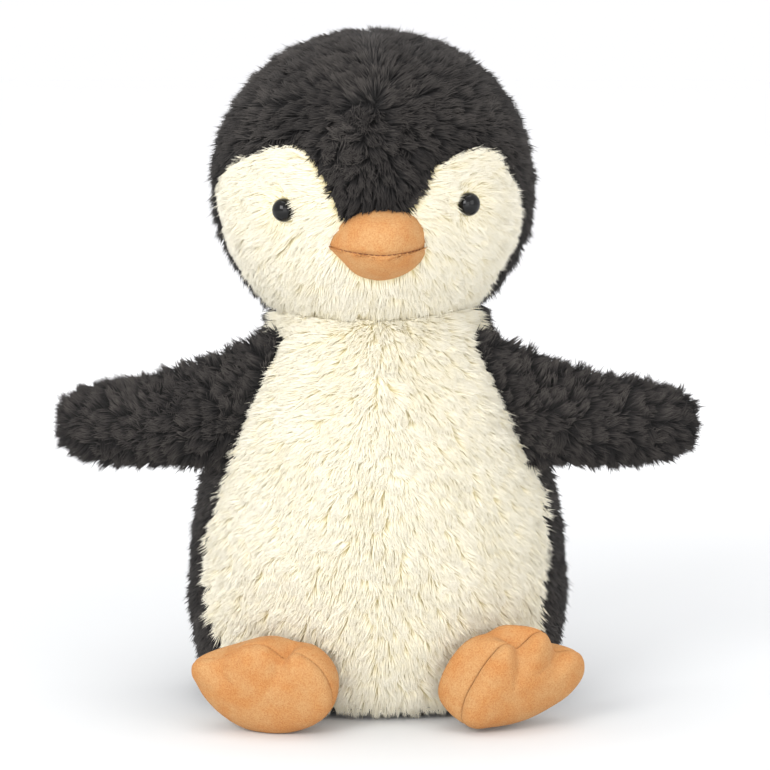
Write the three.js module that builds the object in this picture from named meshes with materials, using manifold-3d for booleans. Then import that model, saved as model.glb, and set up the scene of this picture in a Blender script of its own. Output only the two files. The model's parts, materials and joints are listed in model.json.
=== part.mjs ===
// Plush penguin, sitting upright: a stuffed body, a round stuffed head that turns and nods in the
// neck, two flippers sewn into the side seams and two padded feet sewn to the front of the base.
// Millimetres, +Z up, the face looks along -Y, and the origin is the centre of the flat base.
// "Left" and "right" are as seen from the front, so left is -X.

import * as THREE from 'three';
import { mergeVertices } from 'three/addons/utils/BufferGeometryUtils.js';
import Module from 'manifold-3d';

const wasm = await Module();
wasm.setup();

// ---- Driving dimensions ----

const GAP = 0.3;               // clearance between pieces that touch
const TURN_GAP = 1.2;          // clearance between pieces that move on each other
const PLUSH = 5;               // backing cloth and its standing pile
const SUEDE = 1.6;             // suedette with its backing

const BODY_HALF_WIDTH = 79;    // at the widest point
const BODY_DEPTH_RATIO = 0.8;  // depth over width from the base to the belly
const BELLY_Z = 47;            // height of the widest point
const BASE_RADIUS = 53;        // half width of the flat base
const NECK_Z = 163;            // height of the neck crease
const NECK_RADIUS = 44.5;      // half width at the crease
const NECK_DEPTH_RATIO = 0.93; // depth over width at the crease
const SIDE_SEAM_DEG = 62;      // side seams, measured round from the front

const HEAD_RADIUS = 65.5;
const HEAD_X = -2;             // the head sits a little to one side
const FACE_TURN_DEG = 3;       // and looks a little to the other
const FACE_ROLL_DEG = 1.7;
const CROWN_HALF_WIDTH = 23;   // centre strip over the top of the head

const EYE_X = 34.2;
const EYE_Z = -3.8;            // below the middle of the head
const EYE_RADIUS = 4.7;
const EYE_HEIGHT = 4.4;
const SHANK_RADIUS = 1.6;
const SHANK_LENGTH = 10;
const WASHER_RADIUS = 6;
const WASHER_THICKNESS = 1.6;

const BEAK_HALF_WIDTH = 20.4;
const BEAK_HALF_HEIGHT = 15.1;
const BEAK_LENGTH = 18;        // out from the pile of the face
const BEAK_Z = -20.6;          // below the middle of the head
const MOUTH_DROP = 1;          // mouth seam below the middle of the beak

const WING_LENGTH = 82;        // root seam to tip
const WING_HALF_HEIGHT = 17.5; // over the outer half
const WING_FLARE = 18;         // how much the half height grows at the root
const WING_THICKNESS = 22;
const WING_ROOT_THICKNESS = 9;
const WING_DROP = 9;           // tip below the middle of the root
const WING_ROOT_LOW_Z = 98;
const WING_ROOT_HIGH_Z = 160;
const WING_Y = -26;
const WING_STANDOFF = 2.5;     // root seam outside the pile surface of the body

const FOOT_FRONT = 8;          // the sole stands out this far in front of the foot's seam
const FOOT_BACK = 19;          // and the top panel this far behind it
const FOOT_WIDTH = 58;
const FOOT_HEIGHT = 41;
const FOOT_PITCH_DEG = 12;     // toes lean forward over the heel
const FOOT_CLEARANCE = 1.5;    // back of the foot to the belly
const LEFT_FOOT = { x: -43, yaw: 14, roll: 0 };
const RIGHT_FOOT = { x: 51, yaw: 24, roll: 11 };
const FOOT_REST = 0.5;         // heel above the ground, so that the base carries the toy

const BEAN_BAG_RADIUS = 44;
const BEAN_BAG_HEIGHT = 22;
const NECK_WAD_RADIUS = 22;
const NECK_WAD_DEPTH = 26;     // below the bottom of the head

const ROUND_STEPS = 28;        // facets round the body and the head
const SMALL_STEPS = 12;        // facets round the eyes and their washers

// ---- Materials ----

function plain(color, roughness) {
  return new THREE.MeshStandardMaterial({ color, roughness, metalness: 0 });
}
const darkPlush = () => plain(0x35312f, 0.95);
const creamPlush = () => plain(0xf3eedb, 0.95);
const suedette = () => plain(0xdfa166, 0.9);
const stuffing = () => plain(0xf7f6f2, 1);
const pelletCloth = () => plain(0xd8d5cc, 0.9);
const blackPlastic = () => plain(0x1a1a18, 0.15);
const washerPlastic = () => plain(0xeeeeea, 0.5);

// ---- Solids: joining and cutting ----

function solid(geometry) {
  const bare = geometry.clone();
  bare.deleteAttribute('normal');
  bare.deleteAttribute('uv');
  const merged = mergeVertices(bare, 1e-4);
  const vertProperties = Float32Array.from(merged.attributes.position.array);
  const triVerts = Uint32Array.from(merged.index.array);
  return new wasm.Manifold(new wasm.Mesh({ numProp: 3, vertProperties, triVerts }));
}

function geometryOf(body) {
  const cut = body.getMesh();
  const geometry = new THREE.BufferGeometry();
  geometry.setAttribute('position', new THREE.BufferAttribute(cut.vertProperties, 3));
  geometry.setIndex(new THREE.BufferAttribute(cut.triVerts, 1));
  geometry.computeVertexNormals();
  return geometry;
}

function node(name, body, material) {
  const mesh = new THREE.Mesh(geometryOf(body), material);
  mesh.name = name;
  return mesh;
}

// A lathe about Z. The profile runs up from the axis and back to it.
function turned(profile, steps = ROUND_STEPS) {
  return new THREE.LatheGeometry(profile, steps).rotateX(Math.PI / 2);
}

function ball(radius) {
  return solid(new THREE.SphereGeometry(radius, ROUND_STEPS, ROUND_STEPS / 2).rotateX(Math.PI / 2));
}

// Moves each corner of a geometry to where shape(x, y, z) says.
function warped(geometry, shape) {
  const at = geometry.attributes.position;
  for (let i = 0; i < at.count; i++) {
    at.setXYZ(i, ...shape(at.getX(i), at.getY(i), at.getZ(i)));
  }
  return geometry;
}

function box(low, high) {
  const size = high.map((value, i) => value - low[i]);
  const middle = high.map((value, i) => (value + low[i]) / 2);
  return solid(new THREE.BoxGeometry(...size).translate(...middle));
}

// An upright wedge between two azimuths, measured in degrees from -Y towards +X, with half a gap
// taken off each side.
function wedge(fromDeg, toDeg) {
  const half = THREE.MathUtils.degToRad(toDeg - fromDeg) / 2;
  const middle = THREE.MathUtils.degToRad(toDeg + fromDeg) / 2;
  const reach = 4 * BODY_HALF_WIDTH;
  const apex = GAP / 2 / Math.sin(half);
  const turns = [-half, -half / 2, half / 2, half];
  const corners = turns.map((turn) => [Math.sin(middle + turn), -Math.cos(middle + turn)]);
  const outline = [[0, 0], ...corners.map(([x, y]) => [x * reach, y * reach])];
  const points = outline.map(([x, y]) => {
    return new THREE.Vector2(x + apex * Math.sin(middle), y - apex * Math.cos(middle));
  });
  const prism = new THREE.ExtrudeGeometry(new THREE.Shape(points), { depth: 2 * NECK_Z, bevelEnabled: false });
  return solid(prism.translate(0, 0, -NECK_Z / 2));
}

// ---- Body surface ----

const SHOULDER_Z = 0.72 * NECK_Z;
const TOP_Z = NECK_Z + 14;
const bodyCurve = new THREE.SplineCurve([
  new THREE.Vector2(BASE_RADIUS, 0),
  new THREE.Vector2(0.87 * BODY_HALF_WIDTH, 0.13 * BELLY_Z),
  new THREE.Vector2(0.965 * BODY_HALF_WIDTH, 0.42 * BELLY_Z),
  new THREE.Vector2(BODY_HALF_WIDTH, BELLY_Z),
  new THREE.Vector2(0.955 * BODY_HALF_WIDTH, 0.5 * NECK_Z),
  new THREE.Vector2(0.57 * BODY_HALF_WIDTH + 0.43 * NECK_RADIUS, SHOULDER_Z),
  new THREE.Vector2(NECK_RADIUS, NECK_Z),
  new THREE.Vector2(0.9 * NECK_RADIUS, TOP_Z),
]);
const bodyPoints = bodyCurve.getPoints(18);

function bodyHalfWidth(z) {
  const after = bodyPoints.findIndex((point) => point.y >= z);
  const high = bodyPoints[Math.max(1, after)];
  const low = bodyPoints[Math.max(1, after) - 1];
  return THREE.MathUtils.mapLinear(z, low.y, high.y, low.x, high.x);
}

function bodyDepthRatio(z) {
  const rise = THREE.MathUtils.smoothstep(z, BELLY_Z, NECK_Z);
  return THREE.MathUtils.lerp(BODY_DEPTH_RATIO, NECK_DEPTH_RATIO, rise);
}

// How far out the body reaches along X at a height and a depth.
function bodyX(z, y) {
  const width = bodyHalfWidth(z);
  const depth = width * bodyDepthRatio(z);
  return width * Math.sqrt(Math.max(0, 1 - (y / depth) ** 2));
}

// How far forward the belly reaches at a height and a place across.
function bellyY(z, x) {
  const width = bodyHalfWidth(z);
  return -width * bodyDepthRatio(z) * Math.sqrt(Math.max(0, 1 - (x / width) ** 2));
}

// The body inside its surface by an inset, from a floor height up into the head.
function bodySolid(inset, floor) {
  const wall = bodyPoints.filter((point) => point.y > floor + 1);
  const first = new THREE.Vector2(bodyHalfWidth(floor), floor);
  const profile = [first, ...wall].map((point) => new THREE.Vector2(point.x - inset, point.y));
  const closed = [new THREE.Vector2(0, floor), ...profile, new THREE.Vector2(0, TOP_Z)];
  return solid(warped(turned(closed), (x, y, z) => {
    const width = bodyHalfWidth(z);
    const depth = width * bodyDepthRatio(z);
    return [x, y * (depth - inset) / (width - inset), z];
  }));
}

// ---- Head placement: the head is a ball resting in the cup of the neck ----

const NECK_CUP_RADIUS = HEAD_RADIUS + TURN_GAP;
const HEAD_Z = NECK_Z + Math.sqrt(NECK_CUP_RADIUS ** 2 - NECK_RADIUS ** 2) + TURN_GAP;
const neckCup = ball(NECK_CUP_RADIUS).translate([HEAD_X, 0, HEAD_Z]);
const HEAD_BOTTOM_Z = HEAD_Z - NECK_CUP_RADIUS;

// ---- Wing roots: a straight seam line on each side of the body ----

const ROOT_LOW = [bodyX(WING_ROOT_LOW_Z, WING_Y) + WING_STANDOFF, WING_ROOT_LOW_Z];
const ROOT_HIGH = [bodyX(WING_ROOT_HIGH_Z, WING_Y) + WING_STANDOFF, WING_ROOT_HIGH_Z];
const ROOT_X = (ROOT_LOW[0] + ROOT_HIGH[0]) / 2;
const ROOT_Z = (WING_ROOT_LOW_Z + WING_ROOT_HIGH_Z) / 2;
const ROOT_LEAN = Math.atan2(ROOT_LOW[0] - ROOT_HIGH[0], WING_ROOT_HIGH_Z - WING_ROOT_LOW_Z);

// Rounded groove that the root edge of a wing turns in.
function rootGroove(side) {
  const radius = WING_ROOT_THICKNESS / 2 + TURN_GAP;
  const length = (WING_ROOT_HIGH_Z - WING_ROOT_LOW_Z) / Math.cos(ROOT_LEAN) + 2 * TURN_GAP;
  const bar = new THREE.CylinderGeometry(radius, radius, length, 10).rotateX(Math.PI / 2);
  return solid(bar.rotateY(-side * ROOT_LEAN).translate(side * ROOT_X, WING_Y, ROOT_Z));
}

// ---- Body pieces ----

function makeBody() {
  const grooves = rootGroove(-1).add(rootGroove(1));
  const hollow = bodySolid(PLUSH, PLUSH + GAP);
  const shell = bodySolid(0, PLUSH + GAP).subtract(hollow).subtract(neckCup).subtract(grooves);
  const panel = (fromDeg, toDeg) => shell.intersect(wedge(fromDeg, toDeg));

  const base = bodySolid(0, 0).intersect(box([-200, -200, -1], [200, 200, PLUSH]));

  const bagFloor = PLUSH + 2 * GAP;
  const bag = (margin) => {
    const radius = BEAN_BAG_RADIUS + margin;
    const height = BEAN_BAG_HEIGHT + margin;
    const arc = new THREE.Path().absellipse(0, bagFloor, radius, height, 0, Math.PI / 2);
    const profile = [new THREE.Vector2(0, bagFloor - margin), new THREE.Vector2(radius, bagFloor - margin)];
    const rim = arc.getPoints(5).slice(margin > 0 ? 0 : 1);
    const closed = [...profile, ...rim.slice(0, -1), new THREE.Vector2(0, bagFloor + height)];
    return solid(turned(closed, 20).scale(1, BODY_DEPTH_RATIO, 1));
  };

  const wad = (margin) => {
    const low = HEAD_BOTTOM_Z - NECK_WAD_DEPTH - margin;
    const radius = NECK_WAD_RADIUS + margin;
    const profile = [[0, low], [0.8 * radius, low], [radius, low + 6], [radius, HEAD_Z], [0, HEAD_Z]];
    const closed = profile.map(([x, y]) => new THREE.Vector2(x, y));
    return solid(turned(closed, 20).translate(HEAD_X, 0, 0));
  };

  const filling = bodySolid(PLUSH + GAP, bagFloor).subtract(neckCup);
  return [
    node('belly_panel_left', panel(-SIDE_SEAM_DEG, 0), creamPlush()),
    node('belly_panel_right', panel(0, SIDE_SEAM_DEG), creamPlush()),
    node('back_panel_left', panel(180, 360 - SIDE_SEAM_DEG), darkPlush()),
    node('back_panel_right', panel(SIDE_SEAM_DEG, 180), darkPlush()),
    node('base_panel', base, darkPlush()),
    node('body_stuffing', filling.subtract(bag(GAP)).subtract(wad(TURN_GAP)).subtract(grooves), stuffing()),
    node('bean_bag', bag(0), pelletCloth()),
    node('neck_stuffing', wad(0).subtract(neckCup), stuffing()),
  ];
}

// ---- Head pieces, made about the middle of the head ----

const FACET_SAG = HEAD_RADIUS * Math.sin(Math.PI / ROUND_STEPS) ** 2;
const eyeDepth = Math.sqrt(HEAD_RADIUS ** 2 - EYE_X ** 2 - EYE_Z ** 2);

// Turns a solid made along +Z so that it points out of the face at an eye.
function atEye(side, profile, steps) {
  const out = new THREE.Vector3(side * EYE_X, -eyeDepth, EYE_Z).normalize();
  const turn = new THREE.Quaternion().setFromUnitVectors(new THREE.Vector3(0, 0, 1), out);
  const points = profile.map(([radius, height]) => new THREE.Vector2(radius, height));
  return solid(turned(points, steps).applyQuaternion(turn));
}

// The eye's shoulder lies on the backing cloth, and the lock washer inside it.
const EYE_SEAT = HEAD_RADIUS - PLUSH + 1;
const WASHER_TOP = HEAD_RADIUS - PLUSH - FACET_SAG - GAP;

function eye(side) {
  const dome = [0.2, 0.4, 0.6, 0.8, 1].map((part) => {
    const angle = part * Math.PI / 2;
    return [EYE_RADIUS * Math.cos(angle), EYE_SEAT + EYE_HEIGHT * Math.sin(angle)];
  });
  dome[dome.length - 1][0] = 0;
  const end = EYE_SEAT - SHANK_LENGTH;
  const shank = [[0, end], [SHANK_RADIUS, end], [SHANK_RADIUS, EYE_SEAT], [EYE_RADIUS, EYE_SEAT]];
  return atEye(side, [...shank, ...dome], SMALL_STEPS);
}

function eyePocket(side) {
  const seat = EYE_SEAT - GAP;
  const outer = HEAD_RADIUS + EYE_HEIGHT;
  const hole = SHANK_RADIUS + GAP;
  const bore = [[0, WASHER_TOP], [hole, WASHER_TOP], [hole, seat]];
  const mouth = [[EYE_RADIUS + GAP, seat], [EYE_RADIUS + GAP, outer], [0, outer]];
  return atEye(side, [...bore, ...mouth], SMALL_STEPS);
}

function washer(side) {
  const low = WASHER_TOP - WASHER_THICKNESS;
  const hole = SHANK_RADIUS + GAP;
  const ring = [[hole, low], [WASHER_RADIUS, low], [WASHER_RADIUS, WASHER_TOP], [hole, WASHER_TOP], [hole, low]];
  return atEye(side, ring, SMALL_STEPS);
}

function washerPocket(side) {
  const low = EYE_SEAT - SHANK_LENGTH - GAP;
  const radius = WASHER_RADIUS + GAP;
  return atEye(side, [[0, low], [radius, low], [radius, HEAD_RADIUS], [0, HEAD_RADIUS]], SMALL_STEPS);
}

// The cream face patch of one side: a lobe over the eye, and down under the beak to the neck.
// The corners are shares of the head's radius, across from the middle and up.
const CHEEK_OUTLINE = [
  [0, -0.17], [0.23, -0.12], [0.33, 0.05], [0.42, 0.19], [0.56, 0.3], [0.79, 0.24],
  [0.88, 0.07], [0.885, -0.15], [0.84, -0.38], [0.73, -0.57], [0.6, -0.78], [0.3, -1.05], [0, -1.05],
];

function cheekPrism(side, margin) {
  const grow = 1 + margin / HEAD_RADIUS * 2;
  const middle = [0.45, -0.35];
  const corners = CHEEK_OUTLINE.map(([x, z]) => {
    const across = Math.max(x === 0 ? GAP / 2 / HEAD_RADIUS - margin / HEAD_RADIUS : 0, middle[0] + (x - middle[0]) * grow);
    const seam = GAP / 2 / HEAD_RADIUS - margin / HEAD_RADIUS;
    return [x === 0 ? seam : across, middle[1] + (z - middle[1]) * grow];
  });
  const points = corners.map(([x, z]) => new THREE.Vector2(side * x * HEAD_RADIUS, z * HEAD_RADIUS));
  const shape = new THREE.Shape(side > 0 ? points : points.reverse());
  const prism = new THREE.ExtrudeGeometry(shape, { depth: 1.2 * HEAD_RADIUS, bevelEnabled: false });
  return solid(prism.rotateX(Math.PI / 2));
}

function beakForm(inset) {
  const reach = BEAK_LENGTH + 8 - inset;
  const shape = new THREE.SphereGeometry(1, 20, 12);
  shape.scale(BEAK_HALF_WIDTH - inset, reach, BEAK_HALF_HEIGHT - inset);
  const root = Math.sqrt(HEAD_RADIUS ** 2 - BEAK_Z ** 2) - 8;
  return solid(shape.translate(0, -root, BEAK_Z));
}

function makeHead() {
  const far = 2 * HEAD_RADIUS;
  const pockets = eyePocket(-1).add(eyePocket(1));
  const shell = ball(HEAD_RADIUS).subtract(ball(HEAD_RADIUS - PLUSH));
  const dark = shell.subtract(cheekPrism(-1, GAP)).subtract(cheekPrism(1, GAP));
  const strip = (low, high) => dark.intersect(box([low, -far, -far], [high, far, far]));
  const edge = CROWN_HALF_WIDTH + GAP;

  const face = ball(HEAD_RADIUS + GAP);
  const beakShell = beakForm(0).subtract(beakForm(SUEDE)).subtract(face);
  const mouth = BEAK_Z - MOUTH_DROP;
  const beakPart = (low, high) => beakShell.intersect(box([-far, -far, low], [far, far, high]));

  const filling = ball(HEAD_RADIUS - PLUSH - GAP).subtract(washerPocket(-1)).subtract(washerPocket(1));
  return [
    node('crown_panel', strip(-CROWN_HALF_WIDTH, CROWN_HALF_WIDTH), darkPlush()),
    node('head_side_left', strip(-far, -edge), darkPlush()),
    node('head_side_right', strip(edge, far), darkPlush()),
    node('cheek_left', shell.intersect(cheekPrism(-1, 0)).subtract(pockets), creamPlush()),
    node('cheek_right', shell.intersect(cheekPrism(1, 0)).subtract(pockets), creamPlush()),
    node('head_stuffing', filling, stuffing()),
    node('beak_upper', beakPart(mouth + GAP / 2, far), suedette()),
    node('beak_lower', beakPart(-far, mouth - GAP / 2), suedette()),
    node('beak_stuffing', beakForm(SUEDE + GAP).subtract(face), stuffing()),
    node('eye_left', eye(-1), blackPlastic()),
    node('eye_right', eye(1), blackPlastic()),
    node('eye_washer_left', washer(-1), washerPlastic()),
    node('eye_washer_right', washer(1), washerPlastic()),
  ];
}

// ---- Wings, made about the middle of the root seam ----

// A flat flipper along side * X. Its height and thickness follow the share of the length, s: the
// height flares towards the root seam, where the panels come together.
function wingSolid(side, inset) {
  const shape = new THREE.SphereGeometry(1, 16, 14).rotateZ(Math.PI / 2);
  const inside = 0.3;
  const flipper = warped(shape, (x, y, z) => {
    const s = -inside + (1 + inside) * (1 + x) / 2;
    const inward = 1 - Math.max(0, s);
    const ring = Math.hypot(y, z);
    const round = ring > 1e-6 ? ring ** 0.6 / ring : 0;
    const height = (WING_HALF_HEIGHT + WING_FLARE * inward ** 4 - inset) * z * round;
    const thick = WING_THICKNESS - (WING_THICKNESS - WING_ROOT_THICKNESS) * inward ** 2;
    const lean = ROOT_LEAN * Math.max(0, 1 - s / 0.35);
    const drop = WING_DROP * (1 - inward ** 3);
    return [
      (WING_LENGTH - inset) * s - height * Math.sin(lean),
      (thick / 2 - inset) * y * round,
      height * Math.cos(lean) - drop,
    ];
  });
  const body = new THREE.BoxGeometry(200, 200, 300).translate(-100 + inset, 0, 0).rotateY(-ROOT_LEAN);
  const right = solid(flipper).subtract(solid(body));
  return side > 0 ? right : mirrored(right);
}

function mirrored(body) {
  const geometry = geometryOf(body);
  geometry.scale(-1, 1, 1);
  geometry.index.array.reverse();
  return solid(geometry);
}

function makeWing(side, name) {
  const shell = wingSolid(side, 0).subtract(wingSolid(side, PLUSH / 2));
  const front = box([-200, -200, -200], [200, -GAP / 2, 200]);
  const back = box([-200, GAP / 2, -200], [200, 200, 200]);
  const wing = new THREE.Group();
  wing.position.set(side * ROOT_X, WING_Y, ROOT_Z);
  wing.add(
    node(`wing_front_${name}`, shell.intersect(front), darkPlush()),
    node(`wing_back_${name}`, shell.intersect(back), darkPlush()),
    node(`wing_stuffing_${name}`, wingSolid(side, PLUSH / 2 + GAP), stuffing()),
  );
  return wing;
}

// ---- Feet, made about their own middle with the sole facing -Y and the big rounded toe inward ----

// Outline of the foot on +X, as shares of its half width and half height.
const FOOT_OUTLINE = [
  [1, 0.42], [0.72, 0.56], [0.5, 0.72], [0.22, 0.98], [-0.08, 0.9], [-0.45, 0.9], [-0.84, 0.66],
  [-0.98, 0.1], [-0.86, -0.52], [-0.4, -0.88], [0.06, -0.9], [0.48, -0.6], [0.8, -0.12],
];

function footSolid(side, inset) {
  const steps = 26;
  const corners = FOOT_OUTLINE.map(([x, z]) => new THREE.Vector3(x * FOOT_WIDTH / 2, 0, z * FOOT_HEIGHT / 2));
  const outline = new THREE.CatmullRomCurve3(corners, true).getSpacedPoints(steps);
  const shape = new THREE.SphereGeometry(1, steps, 8);
  const pad = warped(shape, (x, y, z) => {
    const ring = Math.hypot(x, z);
    const turn = (Math.atan2(z, x) / (2 * Math.PI) + 1) % 1;
    const edge = outline[Math.round(turn * steps) % steps];
    const length = edge.length();
    const spread = ring ** 0.7 * (1 - inset / length);
    const puff = Math.sign(y) * Math.abs(y) ** 0.85 * ((y < 0 ? FOOT_FRONT : FOOT_BACK) - inset);
    return [edge.x * spread, puff, edge.z * spread];
  });
  const right = solid(pad);
  return side > 0 ? right : mirrored(right);
}

function makeFoot(side, name, place) {
  const shell = footSolid(side, 0).subtract(footSolid(side, SUEDE));
  const front = box([-200, -200, -200], [200, -GAP / 2, 200]);
  const back = box([-200, GAP / 2, -200], [200, 200, 200]);
  const foot = new THREE.Group();
  foot.rotation.set(
    THREE.MathUtils.degToRad(FOOT_PITCH_DEG),
    THREE.MathUtils.degToRad(place.roll),
    THREE.MathUtils.degToRad(side * place.yaw),
    'ZXY',
  );
  foot.position.set(place.x, footY(place.x), 0);
  foot.add(
    node(`foot_sole_${name}`, shell.intersect(front), suedette()),
    node(`foot_top_${name}`, shell.intersect(back), suedette()),
    node(`foot_stuffing_${name}`, footSolid(side, SUEDE + GAP), stuffing()),
  );
  foot.position.z = FOOT_REST - new THREE.Box3().setFromObject(foot, true).min.z;
  return foot;
}

// The foot's seam lies in front of the belly by the top panel's bulge.
function footY(x) {
  return bellyY(FOOT_HEIGHT / 2, 0.9 * x) - FOOT_BACK - FOOT_CLEARANCE;
}

// ---- Assembly ----

const penguin = new THREE.Group();
penguin.add(...makeBody());

const head = new THREE.Group();
head.position.set(HEAD_X, 0, HEAD_Z);
head.rotation.set(
  0,
  -THREE.MathUtils.degToRad(FACE_ROLL_DEG),
  THREE.MathUtils.degToRad(FACE_TURN_DEG),
  'ZYX',
);
head.add(...makeHead());
penguin.add(head);

penguin.add(makeWing(-1, 'left'), makeWing(1, 'right'));
penguin.add(makeFoot(-1, 'left', LEFT_FOOT), makeFoot(1, 'right', RIGHT_FOOT));

export default penguin;
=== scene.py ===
"""A sitting plush penguin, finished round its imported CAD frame.

Lengths are in millimetres until a mesh is made, which turns them to metres. Every plush piece is a
knitted backing with its pile: the backing is a grid of points, worked out from two parameters, and the
pile is many thin tufts whose roots lie evenly on it and whose lean follows the nap that was brushed in.
"""

import json
import math

import bpy
import numpy as np
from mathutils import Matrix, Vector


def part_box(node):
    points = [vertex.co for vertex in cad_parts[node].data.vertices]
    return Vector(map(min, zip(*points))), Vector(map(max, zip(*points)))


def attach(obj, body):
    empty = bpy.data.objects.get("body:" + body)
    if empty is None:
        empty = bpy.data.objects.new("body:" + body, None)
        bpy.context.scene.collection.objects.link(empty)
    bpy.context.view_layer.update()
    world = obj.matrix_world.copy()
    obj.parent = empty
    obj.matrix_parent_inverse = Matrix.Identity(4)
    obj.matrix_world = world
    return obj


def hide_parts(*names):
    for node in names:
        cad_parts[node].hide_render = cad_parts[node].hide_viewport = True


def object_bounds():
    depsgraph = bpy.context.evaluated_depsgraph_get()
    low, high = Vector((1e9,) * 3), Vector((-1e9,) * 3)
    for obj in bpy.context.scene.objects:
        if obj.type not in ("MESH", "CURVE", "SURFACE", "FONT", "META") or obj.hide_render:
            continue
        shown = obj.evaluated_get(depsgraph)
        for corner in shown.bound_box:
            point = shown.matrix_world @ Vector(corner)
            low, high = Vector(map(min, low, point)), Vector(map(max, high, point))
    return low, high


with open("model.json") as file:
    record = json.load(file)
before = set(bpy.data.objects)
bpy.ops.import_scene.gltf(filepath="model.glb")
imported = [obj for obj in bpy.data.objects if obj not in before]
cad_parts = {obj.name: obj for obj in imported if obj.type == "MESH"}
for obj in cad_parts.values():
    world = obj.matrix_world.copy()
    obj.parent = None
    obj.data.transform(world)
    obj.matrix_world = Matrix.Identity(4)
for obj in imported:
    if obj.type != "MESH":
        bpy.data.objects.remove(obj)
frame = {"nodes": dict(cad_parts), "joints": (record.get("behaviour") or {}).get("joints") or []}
cad_low, cad_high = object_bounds()

# ---- Camera: a long lens a little above the toy, looking straight at its front ----

MM = 0.001
CAMERA_DISTANCE = 1150.0
CAMERA_ELEVATION = math.radians(8.0)
VIEW_WIDTH = 323.4
AIM_RIGHT = 3.15
AIM_BELOW_MIDDLE = 9.1
SENSOR = 36.0

camera = bpy.data.objects.new("camera", bpy.data.cameras.new("camera"))
bpy.context.scene.collection.objects.link(camera)
aim_height = (cad_high.z + cad_low.z) / 2 - AIM_BELOW_MIDDLE * MM
camera.location = (
    AIM_RIGHT * MM,
    -CAMERA_DISTANCE * MM * math.cos(CAMERA_ELEVATION),
    aim_height + CAMERA_DISTANCE * MM * math.sin(CAMERA_ELEVATION),
)
camera.rotation_euler = (math.pi / 2 - CAMERA_ELEVATION, 0, 0)
camera.data.sensor_width = SENSOR
camera.data.lens = SENSOR * CAMERA_DISTANCE / VIEW_WIDTH
camera.data.clip_start = 0.05
bpy.context.scene.camera = camera

# ---- Studio: a white floor, a bright even room and four soft boxes ----


def linear(colour):
    """An sRGB hex colour as linear red, green, blue and alpha: below 0.04045 a straight line, above it
    the power 2.4 of (value + 0.055) / 1.055."""
    parts = [int(colour[i : i + 2], 16) / 255 for i in (1, 3, 5)]
    return [p / 12.92 if p <= 0.04045 else ((p + 0.055) / 1.055) ** 2.4 for p in parts] + [1.0]


def node(tree, kind, settings=None, links=None, **values):
    """Adds a node. Settings are its properties, values its inputs by name with _ for a space, and links
    join an input's name to another node's output."""
    made = tree.nodes.new(kind)
    for key, value in (settings or {}).items():
        setattr(made, key, value)
    for key, value in values.items():
        made.inputs[key.replace("_", " ")].default_value = value
    for key, output in (links or {}).items():
        tree.links.new(output, made.inputs[key])
    return made


def material(name):
    """A new material with an empty node tree and its Principled surface, ready to take links."""
    made = bpy.data.materials.new(name)
    made.use_nodes = True
    tree = made.node_tree
    tree.nodes.clear()
    surface = tree.nodes.new("ShaderNodeBsdfPrincipled")
    end = tree.nodes.new("ShaderNodeOutputMaterial")
    tree.links.new(surface.outputs["BSDF"], end.inputs["Surface"])
    return made, tree, surface


def own_place(tree):
    """The object's own coordinates, as the link that a texture takes."""
    return {"Vector": node(tree, "ShaderNodeTexCoord").outputs["Object"]}


COLOUR_A = 6
COLOUR_B = 7
COLOUR_RESULT = 2


def two_tone(tree, share, low, high, blend="MIX"):
    """A colour between low, where the share is 0, and high, where it is 1. Each is a hex colour, or a
    node's output."""
    mix = node(tree, "ShaderNodeMix", {"data_type": "RGBA", "blend_type": blend}, {"Factor": share})
    for index, colour in ((COLOUR_A, low), (COLOUR_B, high)):
        if isinstance(colour, str):
            mix.inputs[index].default_value = linear(colour)
        else:
            tree.links.new(colour, mix.inputs[index])
    return mix.outputs[COLOUR_RESULT]


def mesh_object(name, points, faces, smooth=True):
    """An object at the origin from points in millimetres and faces, which point outwards."""
    data = bpy.data.meshes.new(name)
    data.from_pydata(np.asarray(points) * MM, [], faces)
    data.polygons.foreach_set("use_smooth", np.full(len(data.polygons), smooth))
    data.update()
    made = bpy.data.objects.new(name, data)
    bpy.context.scene.collection.objects.link(made)
    return made


FLOOR_HALF = 9000.0
FLOOR_STEPS = 12
SHADE_RADIUS = 180.0
WHITE_RADIUS = 900.0
ROOM_LIGHT = 1.02

side_steps = np.linspace(-FLOOR_HALF, FLOOR_HALF, FLOOR_STEPS)
floor_x, floor_y = np.meshgrid(side_steps, side_steps, indexing="ij")
floor_points = np.stack([floor_x, floor_y, np.zeros_like(floor_x)], -1).reshape(-1, 3)
floor_corner = (np.arange(FLOOR_STEPS - 1)[:, None] * FLOOR_STEPS + np.arange(FLOOR_STEPS - 1)).ravel()
floor_faces = floor_corner[:, None] + np.array([0, FLOOR_STEPS, FLOOR_STEPS + 1, 1])
floor = mesh_object("floor", floor_points, floor_faces.tolist())
# The board is painted darker round the toy, as shade that evens out the soft boxes' brighter light there, and
# fades to white further out.
floor_paint, floor_tree, floor_surface = material("white studio board, painted shade round the toy")
floor_far = node(floor_tree, "ShaderNodeVectorMath", {"operation": "LENGTH"}, own_place(floor_tree))
floor_shade_fade = node(
    floor_tree, "ShaderNodeMapRange", {"interpolation_type": "SMOOTHSTEP"},
    {"Value": floor_far.outputs["Value"]}, From_Min=SHADE_RADIUS * MM, From_Max=WHITE_RADIUS * MM,
)
floor_painted_shade = two_tone(floor_tree, floor_shade_fade.outputs["Result"], "#dcdddd", "#ffffff")
floor_tree.links.new(floor_painted_shade, floor_surface.inputs["Base Color"])
floor_surface.inputs["Roughness"].default_value = 0.8
floor.data.materials.append(floor_paint)

world = bpy.data.worlds.new("room")
world.use_nodes = True
world.node_tree.nodes["Background"].inputs["Color"].default_value = linear("#fdfdff")
world.node_tree.nodes["Background"].inputs["Strength"].default_value = ROOM_LIGHT
bpy.context.scene.world = world
bpy.context.scene.view_settings.view_transform = "Standard"


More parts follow.
